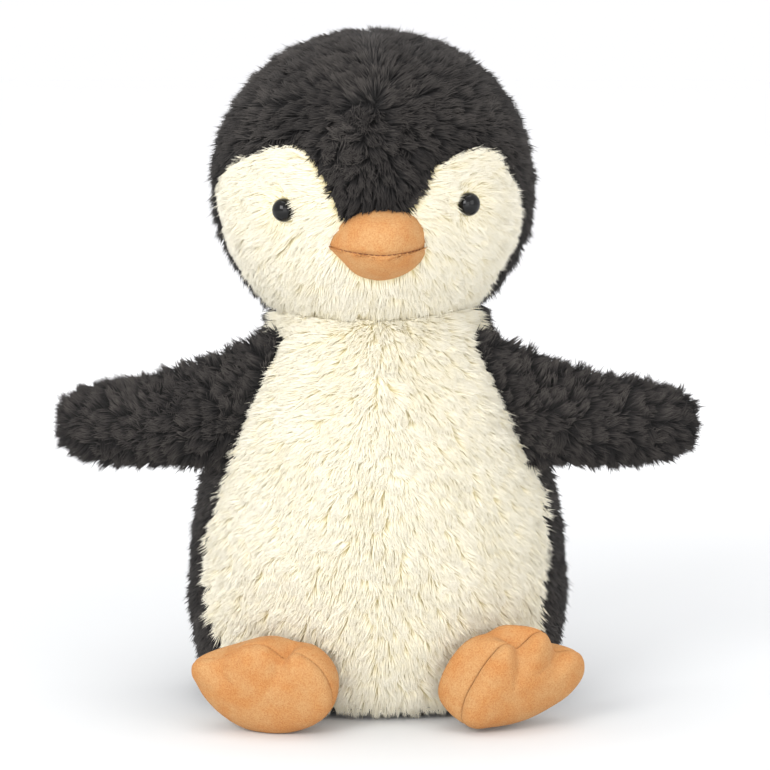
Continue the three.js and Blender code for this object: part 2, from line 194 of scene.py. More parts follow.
def soft_box(name, place, aim, size, power):
    """A square area light, size wide, at place and turned towards aim."""
    light = bpy.data.lights.new(name, "AREA")
    light.size = size * MM
    light.energy = power
    box = bpy.data.objects.new(name, light)
    bpy.context.scene.collection.objects.link(box)
    box.location = np.array(place) * MM
    towards = (np.array(aim) - np.array(place)).tolist()
    box.rotation_euler = Vector(towards).to_track_quat("-Z", "Y").to_euler()


soft_box("key box", (-700, -1000, 700), (0, 0, 130), 600, 8.6)
soft_box("fill box", (900, -900, 500), (0, 0, 120), 700, 3.0)
soft_box("front box", (0, -1250, 250), (0, 0, 120), 900, 4.6)
soft_box("top box", (0, 100, 1300), (0, 0, 150), 900, 4.5)

# ---- Body: two cream belly panels and two dark back panels, seamed at the sides and at both middles ----
# Knitted backing cut in four gores and turned right side out. Its pile is brushed down from the neck,
# and the closing seam down the belly shows only as a shallow parting.

BODY_HALF_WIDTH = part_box("back_panel_right")[1].x / MM
NECK_HEIGHT = 163.0
# The body's side line from the base up, as shares of the half width and of the neck's height.
BODY_SHAPE = [
    (0.671, 0.0), (0.87, 0.037), (0.965, 0.121), (1.0, 0.288),
    (0.954, 0.5), (0.813, 0.72), (0.563, 1.0), (0.507, 1.086),
]
BODY_DEPTH_LOW = 0.8
BODY_DEPTH_HIGH = 0.93
BELLY_HEIGHT = 47.0
BACKING_DEPTH = 2.6
BACKING_THICKNESS = 1.6
HEAD_RADIUS = 65.5
NECK_TUCK = 1.0
BASE_BAND = 6.0
BASE_ROUND = 25.0

joint_place = {j["name"]: np.array(j["pos_m"]) / MM for j in frame["joints"]}
joint_axis = {j["name"]: np.array(j["axis"]) for j in frame["joints"]}
HEAD_CENTRE = joint_place["head_turn"]


def curve_through(corners, steps, closed=False):
    """Points along a Catmull-Rom curve: between two corners each point is the cubic whose slopes at its
    ends are half the step from the corner before to the corner after."""
    corners = np.asarray(corners, float)
    if closed:
        held = np.vstack([corners[-1:], corners, corners[:2]])
    else:
        held = np.vstack([2 * corners[0] - corners[1], corners, 2 * corners[-1] - corners[-2]])
    spans = len(held) - 3
    at = np.linspace(0, spans, steps, endpoint=not closed)
    span = np.minimum(at.astype(int), spans - 1)
    t = (at - span)[:, None]
    a, b, c, d = (held[span + i] for i in range(4))
    return 0.5 * (2 * b + (c - a) * t + (2 * a - 5 * b + 4 * c - d) * t**2 + (3 * b - a - 3 * c + d) * t**3)


def smooth_step(value, low, high):
    """0 below low, 1 above high, and 3t^2 - 2t^3 between them."""
    t = np.clip((value - low) / (high - low), 0, 1)
    return t * t * (3 - 2 * t)


def body_ratio(height):
    """Depth of a body ring as a share of its width, at a height: it grows from the belly to the neck."""
    blend = smooth_step(height, BELLY_HEIGHT, NECK_HEIGHT)
    return BODY_DEPTH_LOW + (BODY_DEPTH_HIGH - BODY_DEPTH_LOW) * blend


def body_grid(inset, rows=110, columns=220):
    """Rings from the base to the neck. A ring is an ellipse whose half width follows the body's shape
    less the inset, and whose depth is body_ratio of it. The lowest rings stay above the base's cloth."""
    shape = curve_through([(w * BODY_HALF_WIDTH, h * NECK_HEIGHT) for w, h in BODY_SHAPE], rows)
    width, height = shape[:, :1] - inset, shape[:, 1:]
    height = np.maximum(height, inset * (1 - smooth_step(height, 0, BASE_ROUND)))
    turn = np.linspace(0, 2 * np.pi, columns + 1)
    x = width * np.sin(turn)
    y = -width * body_ratio(height) * np.cos(turn)
    return np.stack([x, y, height + 0 * x], -1)


def triangles_of(grid):
    """The grid's points with doubles merged, and its triangles without those that closed up at a pole.
    Each is seen anticlockwise from outside, tested against the middle of the whole grid."""
    rows, columns = grid.shape[:2]
    corner = (np.arange(rows - 1)[:, None] * columns + np.arange(columns - 1)).ravel()
    quads = corner[:, None] + np.array([0, columns, columns + 1, 1])
    flat = grid.reshape(-1, 3)
    _, first, same = np.unique(np.round(flat, 4), axis=0, return_index=True, return_inverse=True)
    tris = same.reshape(-1)[np.concatenate([quads[:, [0, 1, 2]], quads[:, [0, 2, 3]]])]
    whole = (tris[:, 0] != tris[:, 1]) & (tris[:, 1] != tris[:, 2]) & (tris[:, 2] != tris[:, 0])
    tris = tris[whole]
    points = flat[first]
    a, b, c = (points[tris[:, i]] for i in range(3))
    volume = np.einsum("ij,ij->i", a - points.mean(0), np.cross(b - a, c - a)).sum()
    return points, tris if volume > 0 else tris[:, ::-1]


def normals_of(points, tris):
    """A normal per point: the sum of its triangles' normals by area, made one long."""
    a, b, c = (points[tris[:, i]] for i in range(3))
    each = np.cross(b - a, c - a)
    total = np.zeros_like(points)
    for i in range(3):
        np.add.at(total, tris[:, i], each)
    return total / np.maximum(np.linalg.norm(total, axis=1, keepdims=True), 1e-9)


def scattered(points, tris, normals, per_mm2, seed):
    """Even random places on the triangles: each share of the total area gets one place, which falls in
    its triangle by the square-root rule. Gives places and normals."""
    chance = np.random.default_rng(seed)
    a, b, c = (points[tris[:, i]] for i in range(3))
    area = np.linalg.norm(np.cross(b - a, c - a), axis=1) / 2
    reach = np.cumsum(area)
    count = int(reach[-1] * per_mm2)
    pick = np.searchsorted(reach, (np.arange(count) + chance.random(count)) / count * reach[-1])
    pick = np.minimum(pick, len(tris) - 1)
    root, across = np.sqrt(chance.random((count, 1))), chance.random((count, 1))
    share = np.hstack([1 - root, root * (1 - across), root * across])
    place = np.einsum("ij,ijk->ik", share, points[tris[pick]])
    normal = np.einsum("ij,ijk->ik", share, normals[tris[pick]])
    return place, normal / np.linalg.norm(normal, axis=1, keepdims=True)


def hashed(cells, salt):
    """Three even random numbers from 0 to 1 for each whole-numbered cell, by mixing its bits."""
    mixed = (cells.astype(np.int64) & 0xFFFFFFFF).astype(np.uint64)
    key = mixed[:, 0] * 73856093 ^ mixed[:, 1] * 19349663 ^ mixed[:, 2] * 83492791 ^ np.uint64(salt * 2654435)
    numbers = []
    for turn in range(3):
        key = (key ^ (key >> np.uint64(15))) * np.uint64(2246822519) & np.uint64(0xFFFFFFFF)
        key = (key ^ (key >> np.uint64(13))) * np.uint64(3266489917) & np.uint64(0xFFFFFFFF)
        numbers.append((key ^ (key >> np.uint64(16))) / 4294967296.0)
    return np.stack(numbers, -1)


def locks(places, size, salt):
    """The lock of pile that each place belongs to: the nearest of one random centre per cell of that
    size. Gives the way to the centre and three random numbers that the lock shares."""
    base = np.floor(places / size)
    best = np.full(len(places), 1e9)
    towards = np.zeros_like(places)
    shared = np.zeros_like(places)
    for step in np.ndindex(3, 3, 3):
        cell = base + (np.array(step) - 1)
        numbers = hashed(cell, salt)
        way = (cell + numbers) * size - places
        far = np.einsum("ij,ij->i", way, way)
        nearer = far < best
        best[nearer] = far[nearer]
        towards[nearer] = way[nearer]
        shared[nearer] = numbers[nearer]
    return towards, shared


def soft_noise(places, size, salt):
    """Smooth noise from -1 to 1: random numbers at the corners of cells, blended across each cell."""
    scaled = places / size
    base = np.floor(scaled)
    part = scaled - base
    part = part * part * (3 - 2 * part)
    total = np.zeros((len(places), 3))
    for step in np.ndindex(2, 2, 2):
        weight = np.prod(np.where(step, part, 1 - part), axis=1, keepdims=True)
        total += weight * hashed(base + np.array(step), salt)
    return total * 2 - 1


def flattened(vector, normal):
    """The part of each vector that lies in the surface."""
    return vector - normal * np.einsum("ij,ij->i", vector, normal)[:, None]


def unit(vector):
    """Each vector made one long."""
    return vector / np.maximum(np.linalg.norm(vector, axis=1, keepdims=True), 1e-9)


TUFT_SIDES = 3
TONE_WIDTH = 0.004
SKIN_TONE = 0.5
# A lock holds finer locks, and drifts with its neighbours over a few of its own widths.
FINE_LOCK = 0.42
FINE_PULL = 0.35
DRIFT_SPAN = 3.2
STRAY = 0.12
# Degrees of lean that a lock, the drift and one tuft add, and the least and most lean.
LOCK_LEAN = 9.0
DRIFT_LEAN = 5.0
TUFT_LEAN = 7.0
LEAST_LEAN = 8.0
MOST_LEAN = 84.0
# One tuft in fourteen stands out of its lock, longer by a quarter.
PLAIN_SHARE = 0.93
LONGER = 1.25
ROOT_DEPTH = 0.4
FLOOR_GAP = 0.15


def tufts(place, normal, nap, pile, seed):
    """The pile as three-sided spikes. A spike leaves the backing along the normal leant towards the nap,
    its tip drawn a share of the way to the middle of its lock, with lean, length and tone varied by lock
    and by tuft. Gives points, triangles, one tone per tuft, and each point's shading normal: between the
    backing's normal and the spike's own, as soft fibres that let light through look."""
    chance = np.random.default_rng(seed)
    count = len(place)
    towards, shared = locks(place, pile["lock"], pile["salt"])
    fine_towards, fine_shared = locks(place, pile["lock"] * FINE_LOCK, pile["salt"] + 7)
    wander = soft_noise(place, pile["lock"] * DRIFT_SPAN, pile["salt"] + 3)
    way = unit(flattened(nap, normal))
    way = way + pile["wander"] * wander + pile["ruffle"] * (shared * 2 - 1)
    way = way + 0.5 * pile["ruffle"] * (fine_shared * 2 - 1) + STRAY * chance.standard_normal((count, 3))
    way = unit(flattened(way, normal))
    lean = pile["lean"](place) if callable(pile["lean"]) else pile["lean"]
    lean = lean + LOCK_LEAN * (shared[:, 0] * 2 - 1) + DRIFT_LEAN * wander[:, 1]
    lean = lean + TUFT_LEAN * chance.standard_normal(count)
    lean = np.radians(np.clip(lean, LEAST_LEAN, MOST_LEAN))[:, None]
    along = np.cos(lean) * normal + np.sin(lean) * way
    length = pile["length"] * (0.8 + 0.35 * shared[:, 1] + 0.2 * (chance.random(count) - 0.5))
    length = length * np.where(chance.random(count) > PLAIN_SHARE, LONGER, 1.0)
    length = (length * pile.get("trim", 1.0))[:, None]
    pull = flattened(towards, normal) * pile["gather"] + flattened(fine_towards, normal) * FINE_PULL
    tip = place + along * length + pull * np.minimum(1, length / pile["length"])
    axis = unit(tip - place)
    side = unit(np.cross(axis, normal + 0.01))
    over = np.cross(axis, side)
    turn = (2 * np.pi * (np.arange(TUFT_SIDES) / TUFT_SIDES + chance.random((count, 1))))[..., None]
    radius = pile["width"] / 2 * (0.8 + 0.4 * chance.random((count, 1, 1)))
    round_out = np.cos(turn) * side[:, None] + np.sin(turn) * over[:, None]
    ring = place[:, None] - ROOT_DEPTH * axis[:, None] + radius * round_out
    points = np.concatenate([ring, tip[:, None]], 1)
    points[..., 2] = np.maximum(points[..., 2], FLOOR_GAP)
    at_root = (1 - pile["depth"]) * normal[:, None] + pile["depth"] * round_out
    at_tip = (1 - 0.4 * pile["depth"]) * normal + 0.4 * pile["depth"] * axis
    shading = np.concatenate([at_root, at_tip[:, None]], 1)
    ends = [[i, (i + 1) % TUFT_SIDES, TUFT_SIDES] for i in range(TUFT_SIDES)] + [[2, 1, 0]]
    tris = np.arange(count)[:, None, None] * (TUFT_SIDES + 1) + np.array(ends)
    tone = SKIN_TONE + 0.3 * wander[:, 2] + 0.22 * (shared[:, 2] * 2 - 1)
    tone = np.clip(tone + 0.12 * chance.standard_normal(count), 0.02, 0.98)
    return points.reshape(-1, 3), tris.reshape(-1, 3), tone, unit(shading.reshape(-1, 3))


def tuft_map(tone):
    """The pile's own map: across is the tuft's tone, with a hair's breadth so that no face is thin, and up is
    the way from root to tip, along which the finish paints shade at the root, so the finish needs nothing
    else."""
    side = [[-TONE_WIDTH, 0], [TONE_WIDTH, 0], [0, 1]]
    cap = [[-TONE_WIDTH, 0], [TONE_WIDTH, 0], [0, 0.03]]
    spread = np.array([side] * TUFT_SIDES + [cap])
    return (spread[None] + np.stack([tone, 0 * tone], -1)[:, None, None]).reshape(-1, 2)


def backing_shell(points, tris, normals, keep, thickness):
    """The kept triangles, the same ones turned over a thickness below, and a wall round every edge that
    only one kept triangle has."""
    kept = tris[keep(points[tris].mean(1))]
    used, small = np.unique(kept, return_inverse=True)
    small = small.reshape(-1, 3)
    count = len(used)
    outer = points[used]
    inner = outer - normals[used] * thickness
    edges = np.concatenate([small[:, [0, 1]], small[:, [1, 2]], small[:, [2, 0]]])
    code = edges[:, 0] * count + edges[:, 1]
    open_edges = edges[~np.isin(code, edges[:, 1] * count + edges[:, 0])]
    a, b = open_edges.T
    walls = np.concatenate([np.stack([b, a, a + count], -1), np.stack([b, a + count, b + count], -1)])
    tris = np.concatenate([small, small[:, ::-1] + count, walls])
    return np.concatenate([outer, inner]), tris, np.concatenate([normals[used], -normals[used]])


def plush(name, surface, keep, nap, pile, finish, body, replaced):
    """One plush piece: the backing where keep says so, with its pile, as one mesh with one map. The
    pile's cut, where it has one, gives each tuft's length as a share."""
    points, tris, normals = surface
    shell, shell_tris, shell_shading = backing_shell(points, tris, normals, keep, BACKING_THICKNESS)
    place, normal = scattered(points, tris, normals, pile["per_mm2"], pile["salt"])
    inside = keep(place)
    place, normal = place[inside], normal[inside]
    trimmed = dict(pile)
    if "cut" in pile:
        trimmed["trim"] = pile["cut"](place)
        shown = trimmed["trim"] > 0.05
        place, normal = place[shown], normal[shown]
        trimmed["trim"] = trimmed["trim"][shown]
    hair, hair_tris, tone, shading = tufts(place, normal, nap(place), trimmed, pile["salt"] + 1)
    every_point = np.concatenate([shell, hair])
    every_tri = np.concatenate([shell_tris, hair_tris + len(shell)])
    # The backing takes the pile's root colour: a dark skin painted as the shade between the tufts.
    skin_shade_corner = np.array([[-TONE_WIDTH, 0], [TONE_WIDTH, 0], [0, 0.02]]) + [SKIN_TONE, 0]
    skin_shade_map = np.tile(skin_shade_corner, (len(shell_tris), 1))
    piece = triangle_mesh(name, every_point, every_tri, np.concatenate([skin_shade_map, tuft_map(tone)]))
    piece.data.normals_split_custom_set_from_vertices(np.concatenate([shell_shading, shading]))
    piece.data.materials.append(finish)
    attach(piece, body)
    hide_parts(replaced)


def triangle_mesh(name, points, tris, corner_map):
    """A smooth mesh from whole arrays, with its map on every triangle's corners."""
    data = bpy.data.meshes.new(name)
    data.vertices.add(len(points))
    data.vertices.foreach_set("co", (points * MM).astype(np.float32).ravel())
    data.loops.add(tris.size)
    data.loops.foreach_set("vertex_index", tris.astype(np.int32).ravel())
    data.polygons.add(len(tris))
    data.polygons.foreach_set("loop_start", np.arange(0, tris.size, 3, dtype=np.int32))
    data.polygons.foreach_set("use_smooth", np.ones(len(tris), bool))
    data.uv_layers.new(name="OFBake").data.foreach_set("uv", corner_map.astype(np.float32).ravel())
    data.update(calc_edges=True)
    made = bpy.data.objects.new(name, data)
    bpy.context.scene.collection.objects.link(made)
    return made


def plush_finish(name, deep, light, sheen):
    """Acrylic pile, matt with a soft sheen: its colour runs up the piece's map from a darker root, which is
    painted shade deep in the pile, to the tip, between a deep set and a light set of colours that the tuft's
    tone mixes."""
    made, tree, surface = material(name)
    place = node(tree, "ShaderNodeUVMap", {"uv_map": "OFBake"})
    axes = node(tree, "ShaderNodeSeparateXYZ", links={"Vector": place.outputs["UV"]})
    root_shade_ramps = []
    for colours in (deep, light):
        ramp = node(tree, "ShaderNodeValToRGB", links={"Fac": axes.outputs["Y"]})
        ramp.color_ramp.elements[0].color = linear(colours[0])
        ramp.color_ramp.elements[1].color = linear(colours[2])
        ramp.color_ramp.elements.new(0.45).color = linear(colours[1])
        root_shade_ramps.append(ramp)
    mixed = two_tone(tree, axes.outputs["X"], root_shade_ramps[0].outputs["Color"], root_shade_ramps[1].outputs["Color"])
    tree.links.new(mixed, surface.inputs["Base Color"])
    rough = node(tree, "ShaderNodeMapRange", None, {"Value": axes.outputs["X"]}, To_Min=0.72, To_Max=0.88)
    tree.links.new(rough.outputs["Result"], surface.inputs["Roughness"])
    surface.inputs["Sheen Weight"].default_value = sheen
    surface.inputs["Sheen Roughness"].default_value = 0.5
    surface.inputs["Specular IOR Level"].default_value = 0.25
    return made


# Each set of colours runs root, middle, tip; the darker roots are painted shade deep in the pile.
cream_pile = plush_finish(
    "cream acrylic plush, brushed",
    ("#c2b27c", "#efe5c6", "#faf4de"), ("#d8cb9c", "#faf3dc", "#fffaea"), 0.15,
)
dark_pile = plush_finish(
    "charcoal acrylic plush, brushed",
    ("#0a0909", "#191717", "#2b2827"), ("#0f0e0e", "#272524", "#5c5753"), 0.03,
)

body_points, body_tris = triangles_of(body_grid(BACKING_DEPTH))
body_surface = (body_points, body_tris, normals_of(body_points, body_tris))

# Side seam: the share of the half width at which cream meets dark, at heights from the base up.
SEAM_SHARES = {
    -1: [(0, 0.78), (26, 0.84), (45, 0.9), (75, 0.915), (100, 0.875), (118, 0.86), (133, 0.9), (150, 0.94)],
    1: [(0, 0.8), (26, 0.86), (45, 0.86), (75, 0.92), (92, 0.935), (104, 0.92), (118, 0.89), (150, 0.93)],
}


def clear_of_head(places):
    """Places outside the hollow that the head turns in."""
    return np.linalg.norm(places - HEAD_CENTRE, axis=1) > HEAD_RADIUS - NECK_TUCK


def is_belly(places, side):
    """Places on the front of one side, between the middle seam and the side seam, above the base."""
    heights, shares = np.array(SEAM_SHARES[side]).T
    seam = np.arcsin(np.interp(places[:, 2], heights, shares))
    turn = np.arctan2(side * places[:, 0], -places[:, 1] / body_ratio(places[:, 2]))
    return (turn >= 0) & (turn < seam) & (places[:, 2] > BASE_BAND) & clear_of_head(places)


def is_back(places, side):
    """Places on one side behind the side seam, above the base."""
    heights, shares = np.array(SEAM_SHARES[side]).T
    seam = np.arcsin(np.interp(places[:, 2], heights, shares))
    turn = np.arctan2(side * places[:, 0], -places[:, 1] / body_ratio(places[:, 2]))
    return (turn >= seam) & (places[:, 2] > BASE_BAND) & clear_of_head(places)


def belly_nap(places):
    """Down from the neck, away from the middle seam, and nearly sideways high on the chest."""
    x, height = places[:, 0], places[:, 2]
    chest = smooth_step(height, 95, 140)
    spread = np.tanh(x / 12) * (0.2 + 0.25 * chest) + x / 110
    spread = spread - 0.45 * chest * smooth_step(-x, 0, 12)
    return np.stack([spread, 0 * x, -1 + 0.45 * chest], -1)


def back_nap(places):
    """Down, and a little away from the middle of the back."""
    return np.stack([0.3 * np.tanh(places[:, 0] / 25), 0 * places[:, 0], 0 * places[:, 0] - 1], -1)


def belly_lean(places):
    """Degrees: laid well over on the belly, standing up round the neck where the head presses on it."""
    far = np.linalg.norm(places - HEAD_CENTRE, axis=1) - HEAD_RADIUS
    return 30 + 30 * smooth_step(far, 0, 12)


# A pile: tufts to the square millimetre, length and width, lean in degrees, the size of a lock, how far
# its tips gather, how the nap wanders and ruffles, and how much of a tuft's own roundness shows.
BELLY_PILE = {
    "per_mm2": 3.8, "length": 6.2, "width": 0.8, "lean": belly_lean, "lock": 4.8, "gather": 0.38,
    "wander": 0.4, "ruffle": 0.38, "depth": 0.4,
}
BACK_PILE = {
    "per_mm2": 1.7, "length": 6.6, "width": 1.1, "lean": 58, "lock": 5.5, "gather": 0.4,
    "wander": 0.4, "ruffle": 0.5, "depth": 0.8,
}
for side, word in ((-1, "left"), (1, "right")):
    plush(
        f"belly_plush_{word}", body_surface, lambda p, s=side: is_belly(p, s), belly_nap,
        {**BELLY_PILE, "salt": 12 + side}, cream_pile, "torso", f"belly_panel_{word}",
    )
    plush(
        f"back_plush_{word}", body_surface, lambda p, s=side: is_back(p, s), back_nap,
        {**BACK_PILE, "salt": 32 + side}, dark_pile, "torso", f"back_panel_{word}",
    )

# ---- Base: the dark oval that closes the body underneath ----
# The same charcoal plush, sewn to the four gores a few millimetres above the ground, its short pile
# pressed flat by the weight.

BASE_HALF_WIDTH = BODY_SHAPE[0][0] * BODY_HALF_WIDTH
BASE_LIFT = 2.4
BASE_RINGS = 14


def base_grid(columns, rows=30):
    """Rings of the flat oval from its middle to its edge."""
    share = np.linspace(0, 1, rows)[:, None]
    turn = np.linspace(0, -2 * np.pi, columns + 1)
    width = (BASE_HALF_WIDTH - BACKING_DEPTH) * share
    flat = np.stack([width * np.sin(turn), -width * BODY_DEPTH_LOW * np.cos(turn)], -1)
    return np.concatenate([flat, BASE_LIFT + 0 * flat[..., :1]], -1)


# The lowest rings of the body follow the oval's edge up to the seam band.
base_top = body_grid(BACKING_DEPTH)[:BASE_RINGS, ::-1]
base_floor = base_grid(base_top.shape[1] - 1)
base_floor[-1] = base_top[0] * [1, 1, 0] + [0, 0, BASE_LIFT]
base_points, base_tris = triangles_of(np.concatenate([base_floor, base_top[1:]]))
base_normals = normals_of(base_points, base_tris)
if base_normals[np.argmin(np.linalg.norm(base_points[:, :2], axis=1)), 2] > 0:
    base_tris = base_tris[:, ::-1]
    base_normals = -base_normals


def base_nap(places):
    """Outwards from the middle."""
    return places * [1, 1, 0] + [0.01, 0, -0.2]


plush(
    "base_plush", (base_points, base_tris, base_normals), lambda p: p[:, 2] <= BASE_BAND, base_nap,
    {
        "per_mm2": 1.4, "length": 4.6, "width": 1.1, "lean": 74, "lock": 6.0, "gather": 0.4,
        "wander": 0.4, "ruffle": 0.4, "depth": 0.8, "salt": 51,
    },
    dark_pile, "torso", "base_panel",
)

# ---- Head: a stuffed ball of dark plush with two cream cheek panels, turned a little to one side ----
# The crown strip runs from a peak over the beak to the nape. Its pile is short and stands up, while the
# cheeks are brushed out from the beak like a fan.

CROWN_SINK = 1.2
FACE_TURN = math.radians(3.0)
FACE_ROLL = math.radians(1.7)
CROWN_HALF_WIDTH = 23.0
# Each cheek's edge from the middle of the face, over the top and down to the chin, as shares of the
# head's radius across and up. The two differ, because the panels were stuffed unevenly.
CHEEK_OUTLINES = {
    -1: [
        (0, -0.17), (0.2, -0.14), (0.25, -0.07), (0.33, 0.12), (0.4, 0.24), (0.46, 0.305), (0.55, 0.32),
        (0.68, 0.285), (0.8, 0.24), (0.905, 0.165), (0.965, 0.05), (0.955, -0.1), (0.925, -0.27),
        (0.86, -0.44), (0.77, -0.62), (0.6, -0.8), (0.3, -1.05), (0, -1.05),
    ],
    1: [
        (0, -0.17), (0.13, -0.15), (0.17, -0.08), (0.25, 0.03), (0.32, 0.15), (0.4, 0.2), (0.48, 0.235),
        (0.57, 0.26), (0.66, 0.25), (0.74, 0.2), (0.83, 0.04), (0.88, -0.09), (0.89, -0.2),
        (0.87, -0.32), (0.81, -0.43), (0.74, -0.55), (0.67, -0.7), (0.6, -0.8), (0.3, -1.05), (0, -1.05),
    ],
}
# The eyes, from the middle of the head: across, down, and the radius of the ball that they sit on.
EYE_ACROSS = {-1: 36.3, 1: 34.0}
EYE_DOWN = 4.4
EYE_SEAT = 61.5
EYE_RADIUS = 4.7
EYE_CLEAR = 0.3
BEAK_MIDDLE = (-1.0, -20.0)
# The beak's edge on the face from its pointed corner over the top, in the face's own millimetres.
BEAK_OUTLINE = [
    (-21.6, -18.6), (-16.4, -9.9), (-9.4, -5.5), (-0.9, -4.0), (8.0, -4.8), (12.2, -6.4), (16.2, -10.4),
    (18.4, -16.5), (18.2, -23.3), (15.5, -27.8), (9.4, -32.1), (0.8, -34.3), (-6.1, -33.2),
    (-11.4, -30.6), (-16.9, -24.6), (-20.4, -20.8),
]
# How strongly the cheek's nap parts round an eye, and how far out.
EYE_PART = 2.3
EYE_PART_WIDTH = 4.5
# Pile that would reach this far over a cheek's seam is cut to a share of its length.
SEAM_REACH = 4.0
SEAM_CUT = 0.55
UNDER_BEAK = 0.9
# Where the head rises out of the body's hollow, as shares of its radius.
HOLLOW_RISE = (-0.96, -0.82)
HEAD_BACKING = 2.4
SIDE_PER_MM2 = 1.9

turn_c, turn_s = math.cos(FACE_TURN), math.sin(FACE_TURN)
roll_c, roll_s = math.cos(FACE_ROLL), math.sin(FACE_ROLL)
# Rows are the face's own right, back and up, as the frame sees them.
TURNED = np.array([[turn_c, turn_s, 0], [-turn_s, turn_c, 0], [0, 0, 1]])
ROLLED = np.array([[roll_c, 0, roll_s], [0, 1, 0], [-roll_s, 0, roll_c]])
HEAD_AXES = ROLLED @ TURNED


def in_head(places):
    """Places in the face's own axes, from the middle of the head."""
    return (places - HEAD_CENTRE) @ HEAD_AXES.T


def from_head(places):
    """Places in the frame, from the face's own axes."""
    return places @ HEAD_AXES + HEAD_CENTRE


def head_grid(inset, rows=120, columns=240):
    """A ball by latitude and longitude, its top pressed in by CROWN_SINK."""
    down = np.linspace(0, np.pi, rows)[:, None]
    turn = np.linspace(0, 2 * np.pi, columns + 1)
    ring = np.sin(down)
    local = np.stack([ring * np.sin(turn), -ring * np.cos(turn), np.cos(down) + 0 * turn], -1)
    local[..., 2] -= CROWN_SINK / HEAD_RADIUS * smooth_step(local[..., 2], 0.7, 1.0)
    return from_head(local.reshape(-1, 3) * (HEAD_RADIUS - inset)).reshape(local.shape)


def within(across, up, corners):
    """True where a place is inside a closed outline: a line to one side crosses it an odd number of
    times."""
    inside = np.zeros(len(across), bool)
    for (x0, z0), (x1, z1) in zip(corners, np.roll(corners, -1, axis=0)):
        level = (z0 > up) != (z1 > up)
        if z1 != z0:
            inside ^= level & (across < (x1 - x0) * (up - z0) / (z1 - z0) + x0)
    return inside


CHEEK_EDGES = {side: curve_through(corners, 120) for side, corners in CHEEK_OUTLINES.items()}


def is_cheek(places, side):
    """Places in front, on one side, inside the cheek's outline as seen from straight ahead."""
    local = in_head(places) / HEAD_RADIUS
    front = local[:, 1] < 0
    return front & (side * local[:, 0] >= 0) & within(side * local[:, 0], local[:, 2], CHEEK_EDGES[side])


def is_crown(places):
    """Places in the middle strip that no cheek holds."""
    local = in_head(places)
    return (np.abs(local[:, 0]) < CROWN_HALF_WIDTH) & ~is_cheek(places, 1) & ~is_cheek(places, -1)


def is_head_side(places, side):
    """Places outside the middle strip on one side that no cheek holds."""
    local = in_head(places)
    return (side * local[:, 0] >= CROWN_HALF_WIDTH) & ~is_cheek(places, side)


def eye_places():
    """The middle of each eye's seat in the face's own axes."""
    middles = []
    for side, across in EYE_ACROSS.items():
        forward = math.sqrt(EYE_SEAT**2 - across**2 - EYE_DOWN**2)
        middles.append(np.array([side * across, -forward, -EYE_DOWN]))
    return middles


beak_edge = curve_through(BEAK_OUTLINE, 240, closed=True) - BEAK_MIDDLE
beak_turn = np.arctan2(beak_edge[:, 1], beak_edge[:, 0])
beak_order = np.argsort(beak_turn)


def beak_share(local):
    """How far out a place lies in the beak's outline: 0 at its middle and 1 at its edge."""
    across, up = local[:, 0] - BEAK_MIDDLE[0], local[:, 2] - BEAK_MIDDLE[1]
    reach = np.linalg.norm(beak_edge, axis=1)[beak_order]
    edge = np.interp(np.arctan2(up, across), beak_turn[beak_order], reach, period=2 * np.pi)
    return np.hypot(across, up) / edge


def face_cut(places):
    """Pile length as a share: none under an eye or the beak, short beside an eye, full elsewhere, and
    short where the head sits in the body's hollow."""
    local = in_head(places)
    share = np.ones(len(places))
    for eye in eye_places():
        far = np.linalg.norm(local - eye, axis=1)
        beside = smooth_step(far, EYE_RADIUS + EYE_CLEAR, EYE_RADIUS + 6)
        share *= np.where(far < EYE_RADIUS + EYE_CLEAR, 0, 0.22 + 0.78 * beside)
    share *= np.where((beak_share(local) < UNDER_BEAK) & (local[:, 1] < 0), 0, 1)
    low = smooth_step(local[:, 2] / HEAD_RADIUS, *HOLLOW_RISE)
    return share * (0.25 + 0.75 * low)


def cheek_nap(places):
    """A fan out from a point below the middle of the face, drawn down, and away from a near eye with the
    fall-off of a bell curve."""
    local = in_head(places)
    fan = unit(local * [1, 0, 1] + [0, 0, 8]) + [0, 0, -0.5]
    for eye in eye_places():
        way = (local - eye) * [1, 0, 1]
        near = np.exp(-(((np.linalg.norm(local - eye, axis=1) - EYE_RADIUS) / EYE_PART_WIDTH) ** 2))
        fan = fan + EYE_PART * near[:, None] * unit(way)
    return fan @ HEAD_AXES


def dark_head_nap(places):
    """Away from the parting over the forehead, down at the peak and the sides, down behind."""
    local = in_head(places)
    x, y, z = local.T
    top = smooth_step(z, 15, 48)
    front = y < 0
    parting = np.tanh(x / 6)
    sideways = parting * (0.25 + 0.75 * top)
    down = np.where(front, -1 + 1.25 * top, -1)
    back = np.where(front, 0.1, 0.5 * top)
    return np.stack([sideways, back, down], -1) @ HEAD_AXES


def crown_lean(places):
    """Leant more on the top of the head than over the forehead."""
    return 46 + 18 * smooth_step(in_head(places)[:, 2], 48, 64)


def short_at_seam(nap):
    """Gives the face cut in which pile that would reach over a cheek's seam is cut shorter."""

    def cut(places):
        ahead = places + SEAM_REACH * unit(nap(places))
        here, there = (is_cheek(at, -1) | is_cheek(at, 1) for at in (places, ahead))
        return face_cut(places) * np.where(here == there, 1.0, SEAM_CUT)

    return cut


